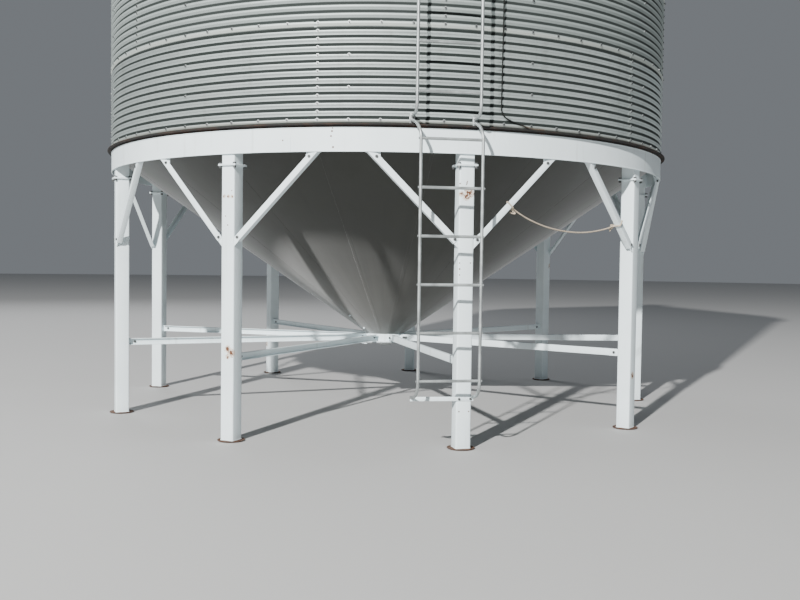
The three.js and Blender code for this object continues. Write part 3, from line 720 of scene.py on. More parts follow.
class Fasteners:
    """Places for bolts of one size, each with the way that its head points."""

    def __init__(self):
        self.places = []
        self.axes = []

    def add(self, place, axis):
        self.places.append(tuple(place))
        self.axes.append(tuple(axis))

    def show(self, name, seed, head, washer, sunk=0.0003, sides=10):
        """Puts a bolt at each place. Head and washer are a width and a height each."""
        points = bpy.data.meshes.new(name + "_places")
        points.from_pydata(self.places, [], [])
        axes = points.attributes.new("axis", "FLOAT_VECTOR", "POINT")
        axes.data.foreach_set("vector", np.array(self.axes, np.float32).ravel())
        sizes = {
            "Head Width": head[0], "Head Height": head[1], "Washer Width": washer[0],
            "Washer Height": washer[1], "Sunk": sunk, "Washer Sides": sides, "Seed": seed,
        }
        show(name, grown(name, bolts_on_points, sizes, galvanised_bar, base=points), galvanised_bar)


# Finishes

def new_finish(name, roughness, metallic=0.0):
    """A material with its shader, and the web that its patterns are built in."""
    material = bpy.data.materials.new(name)
    material.use_nodes = True
    material.node_tree.nodes.clear()
    web = Web(material.node_tree)
    web.material = material
    web.shader = web.node("ShaderNodeBsdfPrincipled", {"Roughness": roughness, "Metallic": metallic})
    output = web.node("ShaderNodeOutputMaterial")
    web.tree.links.new(web.shader.outputs[0], output.inputs["Surface"])
    web.place = web.take("ShaderNodeTexCoord", "Object")
    return web


def stretched(web, scale):
    return web.take("ShaderNodeMapping", 0, {"Vector": web.place, "Scale": scale})


def noise(web, scale, detail=3.0, rough=0.55, place=None):
    values = {"Vector": place or web.place, "Scale": scale, "Detail": detail, "Roughness": rough}
    return web.take("ShaderNodeTexNoise", 0, values)


def mixed(web, share, one, two):
    """One colour turning into another as the share goes from 0 to 1."""
    node = web.node("ShaderNodeMix", data_type="RGBA")
    sockets = [socket for socket in node.inputs if socket.enabled]
    for socket, value in zip((sockets[0], sockets[-2], sockets[-1]), (share, one, two)):
        if isinstance(value, Quantity):
            web.tree.links.new(value.socket, socket)
        elif isinstance(value, float):
            socket.default_value = value
        else:
            socket.default_value = (*value, 1.0)
    return Quantity(web, next(socket for socket in node.outputs if socket.enabled))


def into(web, socket, value):
    web.tree.links.new(value.socket, web.shader.inputs[socket])


def bumped(web, height, strength, depth):
    """Gives the shader the bumps of a height, whose depth is in metres."""
    into(web, "Normal", web.take("ShaderNodeBump", 0, {
        "Height": height, "Strength": strength, "Distance": depth,
    }))


def shade(colour, factor):
    """A colour made darker or lighter."""
    return tuple(channel * factor for channel in colour)


def zinc_colour(web, zinc, dust):
    """Weathered zinc: small spangle, clouding, and streaks of dust that the rain has drawn down."""
    spangle = web.take("ShaderNodeTexVoronoi", "Distance", {"Vector": web.place, "Scale": 55.0})
    cloud = noise(web, 1.3, 5.0)
    streak = noise(web, 1.0, 4.0, place=stretched(web, (14.0, 14.0, 0.7)))
    colour = mixed(web, web.spread(cloud, 0.35, 0.65), shade(zinc, 0.9), shade(zinc, 1.06))
    colour = mixed(web, web.spread(spangle, 0.1, 0.7) * 0.22, colour, shade(zinc, 0.72))
    colour = mixed(web, web.spread(streak, 0.52, 0.74) * 0.22, colour, dust)
    bumped(web, spangle + noise(web, 260.0, 2.0) * 0.4, 0.08, 0.0005)
    return colour, cloud


def galvanised_sheet(name, colours):
    """The wall's zinc, with a painted dark reflection on the slopes that face up, a darker band on the
    lowest wave above the flange, and a chalky strip at each sheet's foot.
    """
    web = new_finish(name, 0.5, 0.6)
    crest, lean, lap, seam, dull, tint = (
        web.take("ShaderNodeAttribute", "Fac", attribute_name=label)
        for label in ("crest", "lean", "lap", "seam", "dull", "sheet_tint")
    )
    height = web.split(web.place)[2]
    colour, cloud = zinc_colour(web, tuple(colours.zinc), tuple(colours.dust))
    colour = mixed(web, tint * 0.2 + dull * 0.7, colour, tuple(colours.dull_zinc))
    drift = (cloud - 0.5) * 0.4
    # Painted reflection: a dark band on the slopes that face up; fresh is its shape on a bright tier,
    # weathered on a dull tier
    fresh = web.spread(lean * 0.99 - crest * 0.14 + drift, -0.46, 0.42)
    weathered = web.spread(lean * 0.79 - crest * 0.61 + drift, -0.6, 0.6) * 0.98
    hollow = fresh * (1.0 - dull) + weathered * dull
    colour = mixed(web, hollow, colour, tuple(colours.hollow))
    # A faint line of the same painted dark reflection in the middle of the slopes that face down
    below = web.spread(crest * 0.19 - lean * 0.98, 0.72, 0.98)
    colour = mixed(web, below * 0.2, colour, tuple(colours.hollow))
    colour = mixed(web, lap * (1.0 - hollow) * (0.8 - dull * 0.35), colour, tuple(colours.chalk))
    colour = mixed(web, seam * (1.0 - hollow) * 0.12, colour, tuple(colours.chalk))
    # Darker band on the lowest wave, between its crest and the flange
    lowest_wave_band = web.spread(height, CREST_Z - 0.013, CREST_Z - 0.021)
    colour = mixed(web, lowest_wave_band * 0.97, colour, tuple(colours.hollow))
    outside_dark_bands = 1.0 - web.math("MAXIMUM", hollow, lowest_wave_band)
    into(web, "Base Color", colour)
    into(web, "Roughness", 0.75 - outside_dark_bands * 0.33 + outside_dark_bands * dull * 0.16)
    into(web, "Metallic", outside_dark_bands * 0.85 - outside_dark_bands * dull * 0.3)
    into(web, "Specular IOR Level", outside_dark_bands * 0.4 + 0.05)
    return web.material


def galvanised_plain(name, colours):
    """The zinc of the roof and its lid."""
    web = new_finish(name, 0.48, 0.55)
    into(web, "Base Color", zinc_colour(web, tuple(colours.zinc), tuple(colours.dust))[0])
    return web.material


def galvanised_bar(name, colours):
    """Dull bar; the heads of the bolts are darker than their washers."""
    web = new_finish(name, 0.4, 0.7)
    zinc = tuple(colours.bar)
    head = web.take("ShaderNodeAttribute", "Fac", attribute_name="head")
    cloud = noise(web, 9.0, 5.0)
    speck = web.spread(noise(web, 90.0, 3.0), 0.62, 0.7)
    colour = mixed(web, web.spread(cloud, 0.35, 0.68), shade(zinc, 0.78), shade(zinc, 1.06))
    colour = mixed(web, speck * 0.5, colour, shade(tuple(colours.dust), 0.6))
    into(web, "Base Color", mixed(web, head * 0.85, colour, tuple(colours.bolt)))
    into(web, "Roughness", web.spread(cloud, 0.3, 0.7, 0.35, 0.6, "LINEAR"))
    bumped(web, noise(web, 160.0, 3.0), 0.15, 0.0006)
    return web.material


def patch_share(web, patches, ragged):
    """How far inside the nearest patch a point lies, from 0 at its rim to 1 in its middle."""
    total = None
    for centre, reach in patches:
        away = web.take("ShaderNodeVectorMath", "Value", {0: web.place, 1: tuple(centre)},
                        operation="DISTANCE")
        inside = 1.0 - away / reach + ragged
        total = inside if total is None else web.math("MAXIMUM", total, inside)
    return total


def on_post(number, across, height):
    """A place on a post's outer face."""
    return at(FIRST_POST + (number - 1) * POST_STEP, POST_RADIUS + POST_HALF, height, across)


# Where the paint has failed, and how far the rust has spread
RUST_PATCHES = [
    (on_post(1, 0.018, 2.078), 0.040),
    (on_post(1, -0.004, 2.048), 0.030),
    (on_post(1, -0.046, 2.068), 0.022),
    (on_post(9, -0.036, 2.041), 0.014),
    (on_post(9, 0.006, 2.040), 0.015),
    (on_post(9, 0.042, 2.038), 0.014),
    (on_post(9, 0.010, 0.775), 0.030),
    (on_post(9, 0.040, 0.745), 0.034),
    (on_post(9, 0.007, 0.712), 0.020),
    (on_post(2, -0.006, 0.497), 0.032),
    (on_post(4, -0.02, 1.5), 0.050),
    (on_post(6, 0.02, 0.4), 0.060),
]

# Small dark chips and weld marks
CHIPS = [
    (at(-8.68, RING_RADIUS, 2.571), 0.007),
    (at(-8.76, RING_RADIUS, 2.547), 0.010),
    (at(-8.91, RING_RADIUS, 2.508), 0.009),
    (at(-8.57, RING_RADIUS, 2.421), 0.010),
    (at(-16.87, RING_RADIUS, 2.479), 0.007),
    (on_post(1, -0.060, 2.151), 0.008),
    (on_post(1, 0.002, 2.169), 0.006),
    (on_post(1, -0.001, 2.157), 0.007),
    (on_post(1, -0.005, 2.145), 0.006),
    (on_post(1, -0.053, 1.515), 0.006),
    (on_post(1, -0.052, 1.467), 0.008),
    (on_post(1, -0.052, 1.419), 0.006),
    (on_post(1, 0.038, 1.516), 0.006),
    (on_post(1, -0.039, 0.314), 0.007),
    (on_post(1, 0.043, 0.313), 0.007),
    (on_post(9, -0.022, 1.878), 0.006),
    (on_post(9, 0.000, 1.804), 0.007),
    (on_post(9, 0.040, 2.087), 0.006),
]


def white_paint(name, colours):
    """Chalky white paint with rain stains, faint dust, chips, and rust where it has failed."""
    web = new_finish(name, 0.42)
    white = tuple(colours.paint)
    cloud = noise(web, 2.2, 4.0)
    stain = noise(web, 1.0, 5.0, place=stretched(web, (16.0, 16.0, 1.1)))
    ragged = noise(web, 38.0, 5.0, 0.65) * 0.9 - 0.45
    speck = noise(web, 70.0, 3.0, 0.6)
    stained = patch_share(web, RUST_PATCHES, ragged)
    eaten = web.spread(stained + (speck - 0.5) * 4.0, 0.28, 0.6)
    chipped = web.spread(patch_share(web, CHIPS, ragged * 0.6), 0.05, 0.3)
    colour = mixed(web, web.spread(cloud, 0.35, 0.7), shade(white, 0.94), white)
    colour = mixed(web, web.spread(stain, 0.56, 0.78) * 0.25, colour, tuple(colours.dust))
    colour = mixed(web, web.spread(speck, 0.76, 0.8), colour, tuple(colours.rust))
    colour = mixed(web, web.spread(stained, -0.35, 0.25) * 0.65, colour, tuple(colours.rust_halo))
    colour = mixed(web, web.math("MAXIMUM", eaten, chipped), colour, tuple(colours.rust))
    into(web, "Base Color", colour)
    into(web, "Roughness", web.spread(cloud + eaten, 0.3, 1.4, 0.38, 0.85, "LINEAR"))
    bumped(web, noise(web, 120.0, 4.0) * 0.3 - eaten, 0.2, 0.0008)
    return web.material


def rusted_flange(name, colours):
    """Nearly black steel with brown rust and dust on it."""
    web = new_finish(name, 0.85)
    dark = tuple(colours.flange)
    patch = noise(web, 5.0, 6.0, 0.65)
    grain = noise(web, 80.0, 4.0)
    colour = mixed(web, web.spread(patch, 0.45, 0.7) * 0.8, dark, shade(tuple(colours.rust), 0.45))
    colour = mixed(web, web.spread(grain, 0.58, 0.75) * 0.2, colour, shade(tuple(colours.dust), 0.4))
    into(web, "Base Color", colour)
    bumped(web, grain + patch * 0.5, 0.4, 0.0015)
    return web.material


def rusted_foot(name, colours):
    """Rough rust, with grey-brown scale in patches."""
    web = new_finish(name, 0.9)
    rust = tuple(colours.rust)
    patch = noise(web, 18.0, 6.0, 0.65)
    colour = mixed(web, web.spread(patch, 0.4, 0.62), shade(rust, 0.45), rust)
    colour = mixed(web, web.spread(noise(web, 60.0, 4.0), 0.4, 0.62) * 0.8, colour, tuple(colours.scale))
    into(web, "Base Color", colour)
    bumped(web, patch + noise(web, 150.0, 4.0) * 0.5, 0.5, 0.0015)
    return web.material


def hopper_steel(name, colours):
    """Dull grey steel, its colour darkened as painted shade, with rain stains that run down the cone to the
    outlet.
    """
    web = new_finish(name, 0.6, 0.1)
    # The cone's base grey is darkened as painted shade
    grey = tuple(colours.hopper)
    x, y, z = web.split(web.place)
    angle = web.math("ARCTAN2", x, y)
    drawn = web.combine(web.math("SINE", angle) * 14.0, web.math("COSINE", angle) * 14.0, z * 0.9)
    run = noise(web, 1.0, 5.0, place=drawn)
    cloud = noise(web, 1.6, 5.0)
    colour = mixed(web, web.spread(cloud, 0.35, 0.68), shade(grey, 0.82), shade(grey, 1.15))
    colour = mixed(web, web.spread(run, 0.5, 0.72) * 0.4, colour, shade(grey, 0.7))
    # Dust lighter towards the bottom of the cone, partly painted light standing in for the lit lower cone
    dust_and_painted_light = web.spread(z + (run - 0.5) * 0.5, 1.75, 0.9) * 0.11
    colour = mixed(web, dust_and_painted_light, colour, tuple(colours.dust))
    into(web, "Base Color", colour)
    into(web, "Roughness", web.spread(cloud, 0.3, 0.7, 0.5, 0.72, "LINEAR"))
    web.shader.inputs["Sheen Weight"].default_value = 1.0
    web.shader.inputs["Sheen Roughness"].default_value = 0.34
    bumped(web, noise(web, 3.5, 2.0) + noise(web, 140.0, 3.0) * 0.05, 0.25, 0.004)
    return web.material


def rope_fibre(name, colours):
    """Pale fibre with darker flecks and grubby stretches."""
    web = new_finish(name, 0.9)
    fibre = tuple(colours.rope)
    fleck = noise(web, 420.0, 4.0)
    colour = mixed(web, web.spread(fleck, 0.4, 0.62), shade(fibre, 0.6), fibre)
    colour = mixed(web, web.spread(noise(web, 14.0, 3.0), 0.45, 0.7) * 0.4, colour, shade(fibre, 0.45))
    into(web, "Base Color", colour)
    bumped(web, fleck, 0.5, 0.0008)
    return web.material


def cable_sheath(name, colours):
    """Black sheath, with painted light in brown where the cable lies on the flange."""
    web = new_finish(name, 0.9)
    web.shader.inputs["Specular IOR Level"].default_value = 0.15
    sheath = tuple(colours.sheath)
    height = web.split(web.place)[2]
    # Painted light: the sheath turns brown where the cable lies on the flange
    dirt = web.spread(height + noise(web, 30.0, 3.0) * 0.02, 2.655, 2.625)
    colour = mixed(web, dirt * 0.8, sheath, tuple(colours.dirt))
    into(web, "Base Color", mixed(web, noise(web, 60.0, 3.0) * 0.1, colour, shade(tuple(colours.dust), 0.3)))
    return web.material


def studio_floor(name, colours):
    """A plain pale floor."""
    web = new_finish(name, 0.8)
    pale = tuple(colours.floor)
    into(web, "Base Color", mixed(web, noise(web, 0.6, 3.0), shade(pale, 0.97), pale))
    return web.material


def finish(make_finish):
    """The material that a finish's function makes, made the first time it is wanted."""
    name = make_finish.__name__ + "_finish"
    return bpy.data.materials.get(name) or make_finish(name, bpy.context.scene.silo_colours)


# What a user may change

def length(name, description, default):
    return FloatProperty(name=name, description=description, default=default, min=0.0, unit="LENGTH")


def colour(name, description, default):
    return FloatVectorProperty(
        name=name, description=description, default=default, size=3, min=0.0, max=1.0, subtype="COLOR",
    )


class SiloSizes(bpy.types.PropertyGroup):
    """Sizes of the sheets and bolts."""

    wall_radius: length("Wall radius", "Mean radius of the corrugated sheets", 2.896)
    wave_depth: length("Wave depth", "Depth of the corrugation from crest to hollow", 0.0127)
    wave_pitch: length("Wave pitch", "Distance from one crest to the next", 0.0635)
    sheet_metal: length("Sheet metal", "Thickness of the wall sheets", 0.0012)
    sheets_round: IntProperty(name="Sheets", description="Sheets in one tier of the wall", default=6, min=3)
    bolt_step: FloatProperty(
        name="Bolt step", description="Angle between the bolts of a level seam",
        default=math.radians(5), subtype="ANGLE",
    )
    bolt_head: length("Bolt head", "Width of the wall bolts across flats", 0.013)
    washer: length("Washer", "Width of the washers under the wall bolts", 0.026)
    frame_bolt: length("Frame bolt", "Width of the frame bolts across flats", 0.024)


class SiloColours(bpy.types.PropertyGroup):
    """Colours of the finishes."""

    zinc: colour("Zinc", "Galvanised wall and roof sheets", (0.76, 0.85, 0.84))
    dull_zinc: colour("Dull zinc", "Zinc that has weathered most", (0.34, 0.39, 0.38))
    # Colour of the painted dark reflection on the slopes of the corrugation that face up
    hollow: colour("Hollow", "Dirt on the slopes of the corrugation that face up", (0.019, 0.023, 0.022))
    chalk: colour("Chalk", "Chalky zinc where one sheet laps over another", (0.84, 0.89, 0.82))
    dust: colour("Dust", "Dust and rain stains", (0.34, 0.33, 0.29))
    paint: colour("Paint", "White paint on the frame", (0.80, 0.90, 0.93))
    rust: colour("Rust", "Rust where the paint has failed", (0.11, 0.042, 0.018))
    rust_halo: colour("Rust halo", "Stain round the rust", (0.60, 0.42, 0.28))
    scale: colour("Scale", "Grey-brown scale on the posts' feet", (0.12, 0.088, 0.072))
    # Colour of the painted light on the cable where it lies on the flange
    dirt: colour("Dirt", "Dirt on the cable where it lies on the flange", (0.11, 0.085, 0.065))
    flange: colour("Flange", "Dark steel of the flange under the wall", (0.012, 0.011, 0.010))
    # The cone's colour is darkened as painted shade
    hopper: colour("Hopper", "Steel of the cone", (0.026, 0.027, 0.022))
    bar: colour("Ladder", "Galvanised bars of the ladders", (0.42, 0.45, 0.45))
    bolt: colour("Bolt", "Heads of the bolts", (0.06, 0.06, 0.06))
    rope: colour("Rope", "Fibre of the rope", (0.62, 0.52, 0.40))
    sheath: colour("Cable", "Sheath of the hanging cable", (0.006, 0.007, 0.007))
    floor: colour("Floor", "Studio floor", (0.46, 0.46, 0.455))


# Camera and rope

class SILO_OT_camera(bpy.types.Operator):
    """Set up the camera at eye level in front of the silo"""

    bl_idname = "silo.camera"
    bl_label = "Camera"

    def execute(self, context):
        yaw, pitch, roll = (math.radians(angle) for angle in CAMERA_TURN)
        right = Vector((math.cos(yaw), -math.sin(yaw), 0))
        forward = Vector((math.cos(pitch) * math.sin(yaw), math.cos(pitch) * math.cos(yaw), math.sin(pitch)))
        up = right.cross(forward)
        across = right * math.cos(roll) - up * math.sin(roll)
        above = right * math.sin(roll) + up * math.cos(roll)
        lens = bpy.data.cameras.new("camera")
        lens.lens = CAMERA_LENS
        lens.sensor_width = CAMERA_SENSOR
        lens.clip_end = CAMERA_REACH
        camera = bpy.data.objects.new("camera", lens)
        camera.matrix_world = Matrix((across, above, -forward)).transposed().to_4x4()
        camera.location = CAMERA_PLACE
        context.scene.collection.objects.link(camera)
        context.scene.camera = camera
        return {"FINISHED"}


def brace_low(side):
    """The foot of the brace's line, at the post's front corner."""
    return Vector((side * POST_HALF, -POST_RADIUS - POST_HALF, BRACE_FOOT_Z))


def brace_high(side):
    """The top of the brace's line, under the ring."""
    angle = math.radians(BRACE_SPREAD)
    x, y = side * BRACE_REACH * math.sin(angle), -BRACE_REACH * math.cos(angle)
    return Vector((x, y, RING_BOTTOM - BRACE_LEG / 2))


BRACE_LENGTH = (brace_high(1) - brace_low(1)).length
BRACE_RISE = (brace_high(1).z - brace_low(1).z) / BRACE_LENGTH
BRACE_RUN = (brace_high(1).x - brace_low(1).x) / BRACE_LENGTH
BRACE_BOLTS = ((-0.004, 0.048), (-0.002, BRACE_LENGTH - 0.013))  # across the brace and along it


def brace_frame(side):
    """The brace's frame in its post's: across it and downwards, in to the axis, and along it."""
    along = (brace_high(side) - brace_low(side)).normalized()
    inward = (Vector((0, 1, 0)) - along * along.y).normalized()
    across = inward.cross(along) * side
    place = Matrix((across, inward, along)).transposed().to_4x4()
    place.translation = brace_low(side)
    return place


def rope_end_frame(end):
    """The frame of the brace that one end of the rope is tied to, moved up to the tie."""
    place = sector(end["angle"]) @ brace_frame(end["side"])
    return place @ Matrix.Translation((0, 0, end["share"] * BRACE_LENGTH))


def rope_loop(end):
    """The turn of rope round a brace: over its outer face, out to the knot and back behind it."""
    half, reach = BRACE_LEG / 2, ROPE_RADIUS + 0.0004
    across, inward = end["knot"]
    corners = [
        (-half - reach, -reach), (half + reach, -reach), (across, inward - reach), (across, inward + reach),
        (half - BRACE_STEEL, BRACE_LEG + reach), (-half - reach, BRACE_STEEL + reach),
    ]
    place = rope_end_frame(end)
    route = [place @ Vector((x, y, 0)) for x, y in rounded(corners, 0.008, 4)]
    return tube(route, ROPE_RADIUS * 0.96, 12, closed=True, strands=ROPE_STRANDS)


def knot(centre, size):
    """An overhand knot, drawn tight: a small trefoil of rope."""
    route = []
    steps = 48
    for i in range(steps):
        t = TAU * i / steps
        x, y, z = math.sin(t) + 2 * math.sin(2 * t), math.cos(t) - 2 * math.cos(2 * t), -math.sin(3 * t)
        route.append(centre + Vector((x * size * 0.33, z * size * 0.45, y * size * 0.33)))
    return tube(route, ROPE_RADIUS * 0.8, 10, closed=True, strands=ROPE_STRANDS)


def tail(centre, bends):
    """A loose end of rope that leaves a knot, with a whipping round its tip."""
    route = smooth_route([centre] + [centre + Vector(bend) for bend in bends], 5)
    tip = [route[-3], route[-2], route[-1].lerp(route[-2], 0.2)]
    return [tube(route, ROPE_RADIUS * 0.9, 12, strands=ROPE_STRANDS), tube(tip, ROPE_RADIUS * 1.02, 12)]


class SILO_OT_rope(bpy.types.Operator):
    """Make the rope that is tied between two knee braces"""

    bl_idname = "silo.rope"
    bl_label = "Rope"

    def execute(self, context):
        route = smooth_route(ROPE_POINTS, 8)
        run = Solids().add(tube(route, ROPE_RADIUS, 15, strands=ROPE_STRANDS))
        rope = show("slack_rope", run, rope_fibre, ["rope"])
        ties = Solids()
        first, last = (rope_end_frame(end) @ Vector((*end["knot"], 0)) for end in (ROPE_START, ROPE_END))
        shapes = [rope_loop(ROPE_START), rope_loop(ROPE_END), knot(first, 0.009), knot(last, 0.017)]
        shapes += tail(first, [(0.017, 0.0, -0.022), (-0.004, 0.0, -0.022), (-0.027, 0.0, -0.012)])
        shapes += tail(last, [(-0.010, 0.0, -0.020), (-0.026, -0.004, -0.044)])
        shapes += tail(last, [(-0.018, 0.0, -0.010), (-0.034, -0.004, -0.027)])
        for shape in shapes:
            ties.add(shape)
        ends = show("rope_ties", ties, rope_fibre)
        walked = sum((b - a).length for a, b in zip(route, route[1:]))
        return {"FINISHED"}


class SILO_OT_lid_cable(bpy.types.Operator):
    """Make the cable from the lid down the roof and the wall, where it ends on the flange"""

    bl_idname = "silo.lid_cable"
    bl_label = "Lid cable"

    def execute(self, context):
        route = rounded([at(*station) for station in CABLE_STATIONS], 0.03, 3, closed=False)
        cable = Solids().add(tube(route, CABLE_RADIUS, 12))
        show("hanging_cable", cable, cable_sheath, ["lid_cable"])
        return {"FINISHED"}


# Wall

def first_seam(tier):
    """The angle of a tier's first vertical seam. Every third tier repeats."""
    return FIRST_SEAM + tier % 3 * SEAM_STAGGER


class SILO_OT_wall(bpy.types.Operator):
    """Make the corrugated tiers of the wall"""

    bl_idname = "silo.wall"
    bl_label = "Corrugated wall"

    def execute(self, context):
        sizes = context.scene.silo_sizes
        for tier in range(TIER_COUNT):
            name = f"wall_tier_{tier + 1}"
            low = WALL_BOTTOM + tier * TIER_HEIGHT
            waves_above = 0 if tier == TIER_COUNT - 1 else 1
            mesh = grown(name, corrugated_tier, {
                "Radius": sizes.wall_radius, "Depth": sizes.wave_depth, "Pitch": sizes.wave_pitch,
                "Low": low + SEAT, "Height": TIER_HEIGHT + waves_above * sizes.wave_pitch - 2 * SEAT,
                "Crest": CREST_Z, "First Seam": math.radians(first_seam(tier)),
                "Side Lap": SIDE_LAP / sizes.wall_radius, "Lift": LAP_LIFT, "Sheets": sizes.sheets_round,
                "Columns": SHEET_COLUMNS, "Rows": (CRESTS + waves_above) * ROWS_IN_WAVE + 1,
                "Dullness": DULLNESS[tier], "Seed": 11 + tier,
            }, galvanised_sheet, sheet=sizes.sheet_metal)
            show(name, mesh, galvanised_sheet, ["wall"] if tier == 0 else [])
        return {"FINISHED"}


class SILO_OT_wall_bolts(bpy.types.Operator):
    """Put the bolts and washers on the wall's seams"""

    bl_idname = "silo.wall_bolts"
    bl_label = "Wall bolts"

    def execute(self, context):
        sizes = context.scene.silo_sizes
        pitch = sizes.wave_pitch
        crest = sizes.wall_radius + sizes.wave_depth / 2
        steps = round(TAU / sizes.bolt_step)
        bolts = Fasteners()
        for row in range(TIER_COUNT + 1):
            height = CREST_Z + row * TIER_HEIGHT - (pitch if row == TIER_COUNT else 0)
            for i in range(steps):
                angle = FIRST_SEAM + i * 360 / steps
                bolts.add(at(angle, crest, height), outward(angle))
        for tier in range(TIER_COUNT):
            low = CREST_Z + tier * TIER_HEIGHT
            for sheet in range(sizes.sheets_round):
                angle = first_seam(tier) + sheet * 360 / sizes.sheets_round
                for wave in range(1, CRESTS):
                    bolts.add(at(angle, crest, low + wave * pitch), outward(angle))
            for i in range(360 // LONE_BOLT_STEP):
                angle = LONE_BOLT + i * LONE_BOLT_STEP
                for wave in (CRESTS / 3, CRESTS * 2 / 3):
                    bolts.add(at(angle, crest, low + wave * pitch), outward(angle))
        bolts.show("wall_bolts", 3, (sizes.bolt_head, 0.007), (sizes.washer, 0.005), sunk=0.003)
        return {"FINISHED"}


# Base ring, flange, cone and outlet

def tab_plate(outline):
    """A plate behind a brace's outer leg, from its outline across and along the brace."""
    low = BRACE_STEEL + SEAT
    points, faces = prism(outline, low, low + TAB_STEEL)
    return softened(([(across, inward, along) for across, along, inward in points], faces), TAB_BEVEL)


def along_at(sidestep, across):
    """How far along a brace a line at a distance across it comes to an upright line."""
    return (sidestep - across * BRACE_RISE) / BRACE_RUN


def foot_tab_outline():
    """The tab on the post's side. Below the brace's square end it has the brace's full width."""
    half, inner = BRACE_LEG / 2, BRACE_LEG / 2 - BRACE_STEEL - SEAT
    return [
        (-half, along_at(-0.003, -half)), (half, along_at(-0.003, half)), (half, BRACE_START - SEAT),
        (inner, BRACE_START - SEAT), (inner, FOOT_TAB_LAP), (-half, FOOT_TAB_LAP),
    ]


def ring_tab_outline():
    """The tab on the ring: its edge towards the post is upright, its top is level."""
    near, far = -BRACE_LEG / 2, BRACE_LEG / 2 - BRACE_STEEL - SEAT
    low = BRACE_LENGTH - RING_TAB_LAP
    rise = RING_BOTTOM + RING_TAB_TOP - (BRACE_FOOT_Z - near * BRACE_RUN + low * BRACE_RISE)
    corner = (near - rise * BRACE_RUN, low + rise * BRACE_RISE)
    top = corner[1] + (far - corner[0]) * BRACE_RUN / BRACE_RISE
    return [(near, low), (far, low), (far, top), corner]


def splice_plate(low, high):
    """One of the two square plates that bolt a post to its stub."""
    return block((-SPLICE_HALF, -POST_RADIUS - SPLICE_HALF, low),
                 (SPLICE_HALF, -POST_RADIUS + SPLICE_HALF, high), 0.002)


def post_outline():
    """The square section of a post, with its corners rounded."""
    return [(x, y - POST_RADIUS) for x, y in rounded(POST_SQUARE, POST_CORNER)]


def post_weld(height):
    """The weld bead round a post at a height."""
    corners = [(x, y - POST_RADIUS, height) for x, y in POST_SQUARE]
    return tube(rounded(corners, POST_CORNER), WELD_RADIUS, 8, closed=True)


class SILO_OT_base(bpy.types.Operator):
    """Make the base ring, the flange on it and the stubs that the posts bolt to"""

    bl_idname = "silo.base"
    bl_label = "Base ring and flange"

    def execute(self, context):
        low, high = RING_BOTTOM, RING_TOP
        inner, outer = RING_RADIUS - RING_STEEL, RING_RADIUS
        lip = RING_LIP
        profile = [
            (inner, low), (outer, low), (outer + lip, low + 0.002), (outer + lip, low + 0.008),
            (outer, low + 0.011), (outer, high - 0.011), (outer + lip, high - 0.008),
            (outer + lip, high - 0.002), (outer, high), (inner, high),
        ]
        ring = Solids().add(turned(profile))
        for angle in RING_WELDS:
            weld = block((-0.003, -outer - 0.0015, low + 0.011),
                         (0.003, -outer + 0.002, high - 0.011), 0.001)
            ring.add(weld, sector(angle))
        stubs = Solids()
        plate = SPLICE_Z + SPLICE_JOINT
        stub = prism(post_outline(), plate + SPLICE_STEEL / 2,
                     lambda x, y: cone_outer(math.hypot(x, y)) - 0.001)
        for i, place in enumerate(post_places()):
            stubs.add(stub, place)
            stubs.add(splice_plate(plate, plate + SPLICE_STEEL), place)
            stubs.add(block((-POST_HALF, -inner + 0.0005, low + 0.005),
                            (POST_HALF, -POST_RADIUS - POST_HALF + 0.01, high - 0.05)), place)
            stubs.add(post_weld(plate + SPLICE_STEEL + 0.001), place)
            for side in (-1, 1):
                stubs.add(tab_plate(ring_tab_outline()), place @ brace_frame(side))
                near, far = sorted((-side * 0.01, side * 0.08))
                lug = block((near, -inner + 0.0005, low), (far, -inner + 0.045, low + RING_TAB_TOP))
                stubs.add(lug, sector(FIRST_POST + i * POST_STEP + side * BRACE_SPREAD))
        show("ring_band", ring, white_paint, ["hopper_ring"])
        show("ring_stubs", stubs, white_paint)
        bottom = RING_TOP + SEAT
        lip_bottom, lip_top = bottom + FLANGE_LIP, bottom + FLANGE_LIP_TOP
        flange = [
            (FLANGE_INNER, bottom), (RING_RADIUS + 0.001, bottom), (RING_RADIUS + 0.004, lip_bottom - 0.002),
            (RING_RADIUS + 0.007, lip_bottom), (FLANGE_OUTER - 0.003, lip_bottom),
            (FLANGE_OUTER, lip_bottom + 0.003), (FLANGE_OUTER, lip_top - 0.003),
            (FLANGE_OUTER - 0.003, lip_top), (FLANGE_OUTER - 0.008, lip_top - 0.001),
            (FLANGE_OUTER - 0.013, lip_top - 0.004), (RING_RADIUS + 0.006, lip_top - 0.005),
            (RING_RADIUS + 0.002, lip_top), (FLANGE_INNER, lip_top),
        ]
        show("curled_flange", Solids().add(turned(flange)), rusted_flange, ["base_flange"])
        return {"FINISHED"}


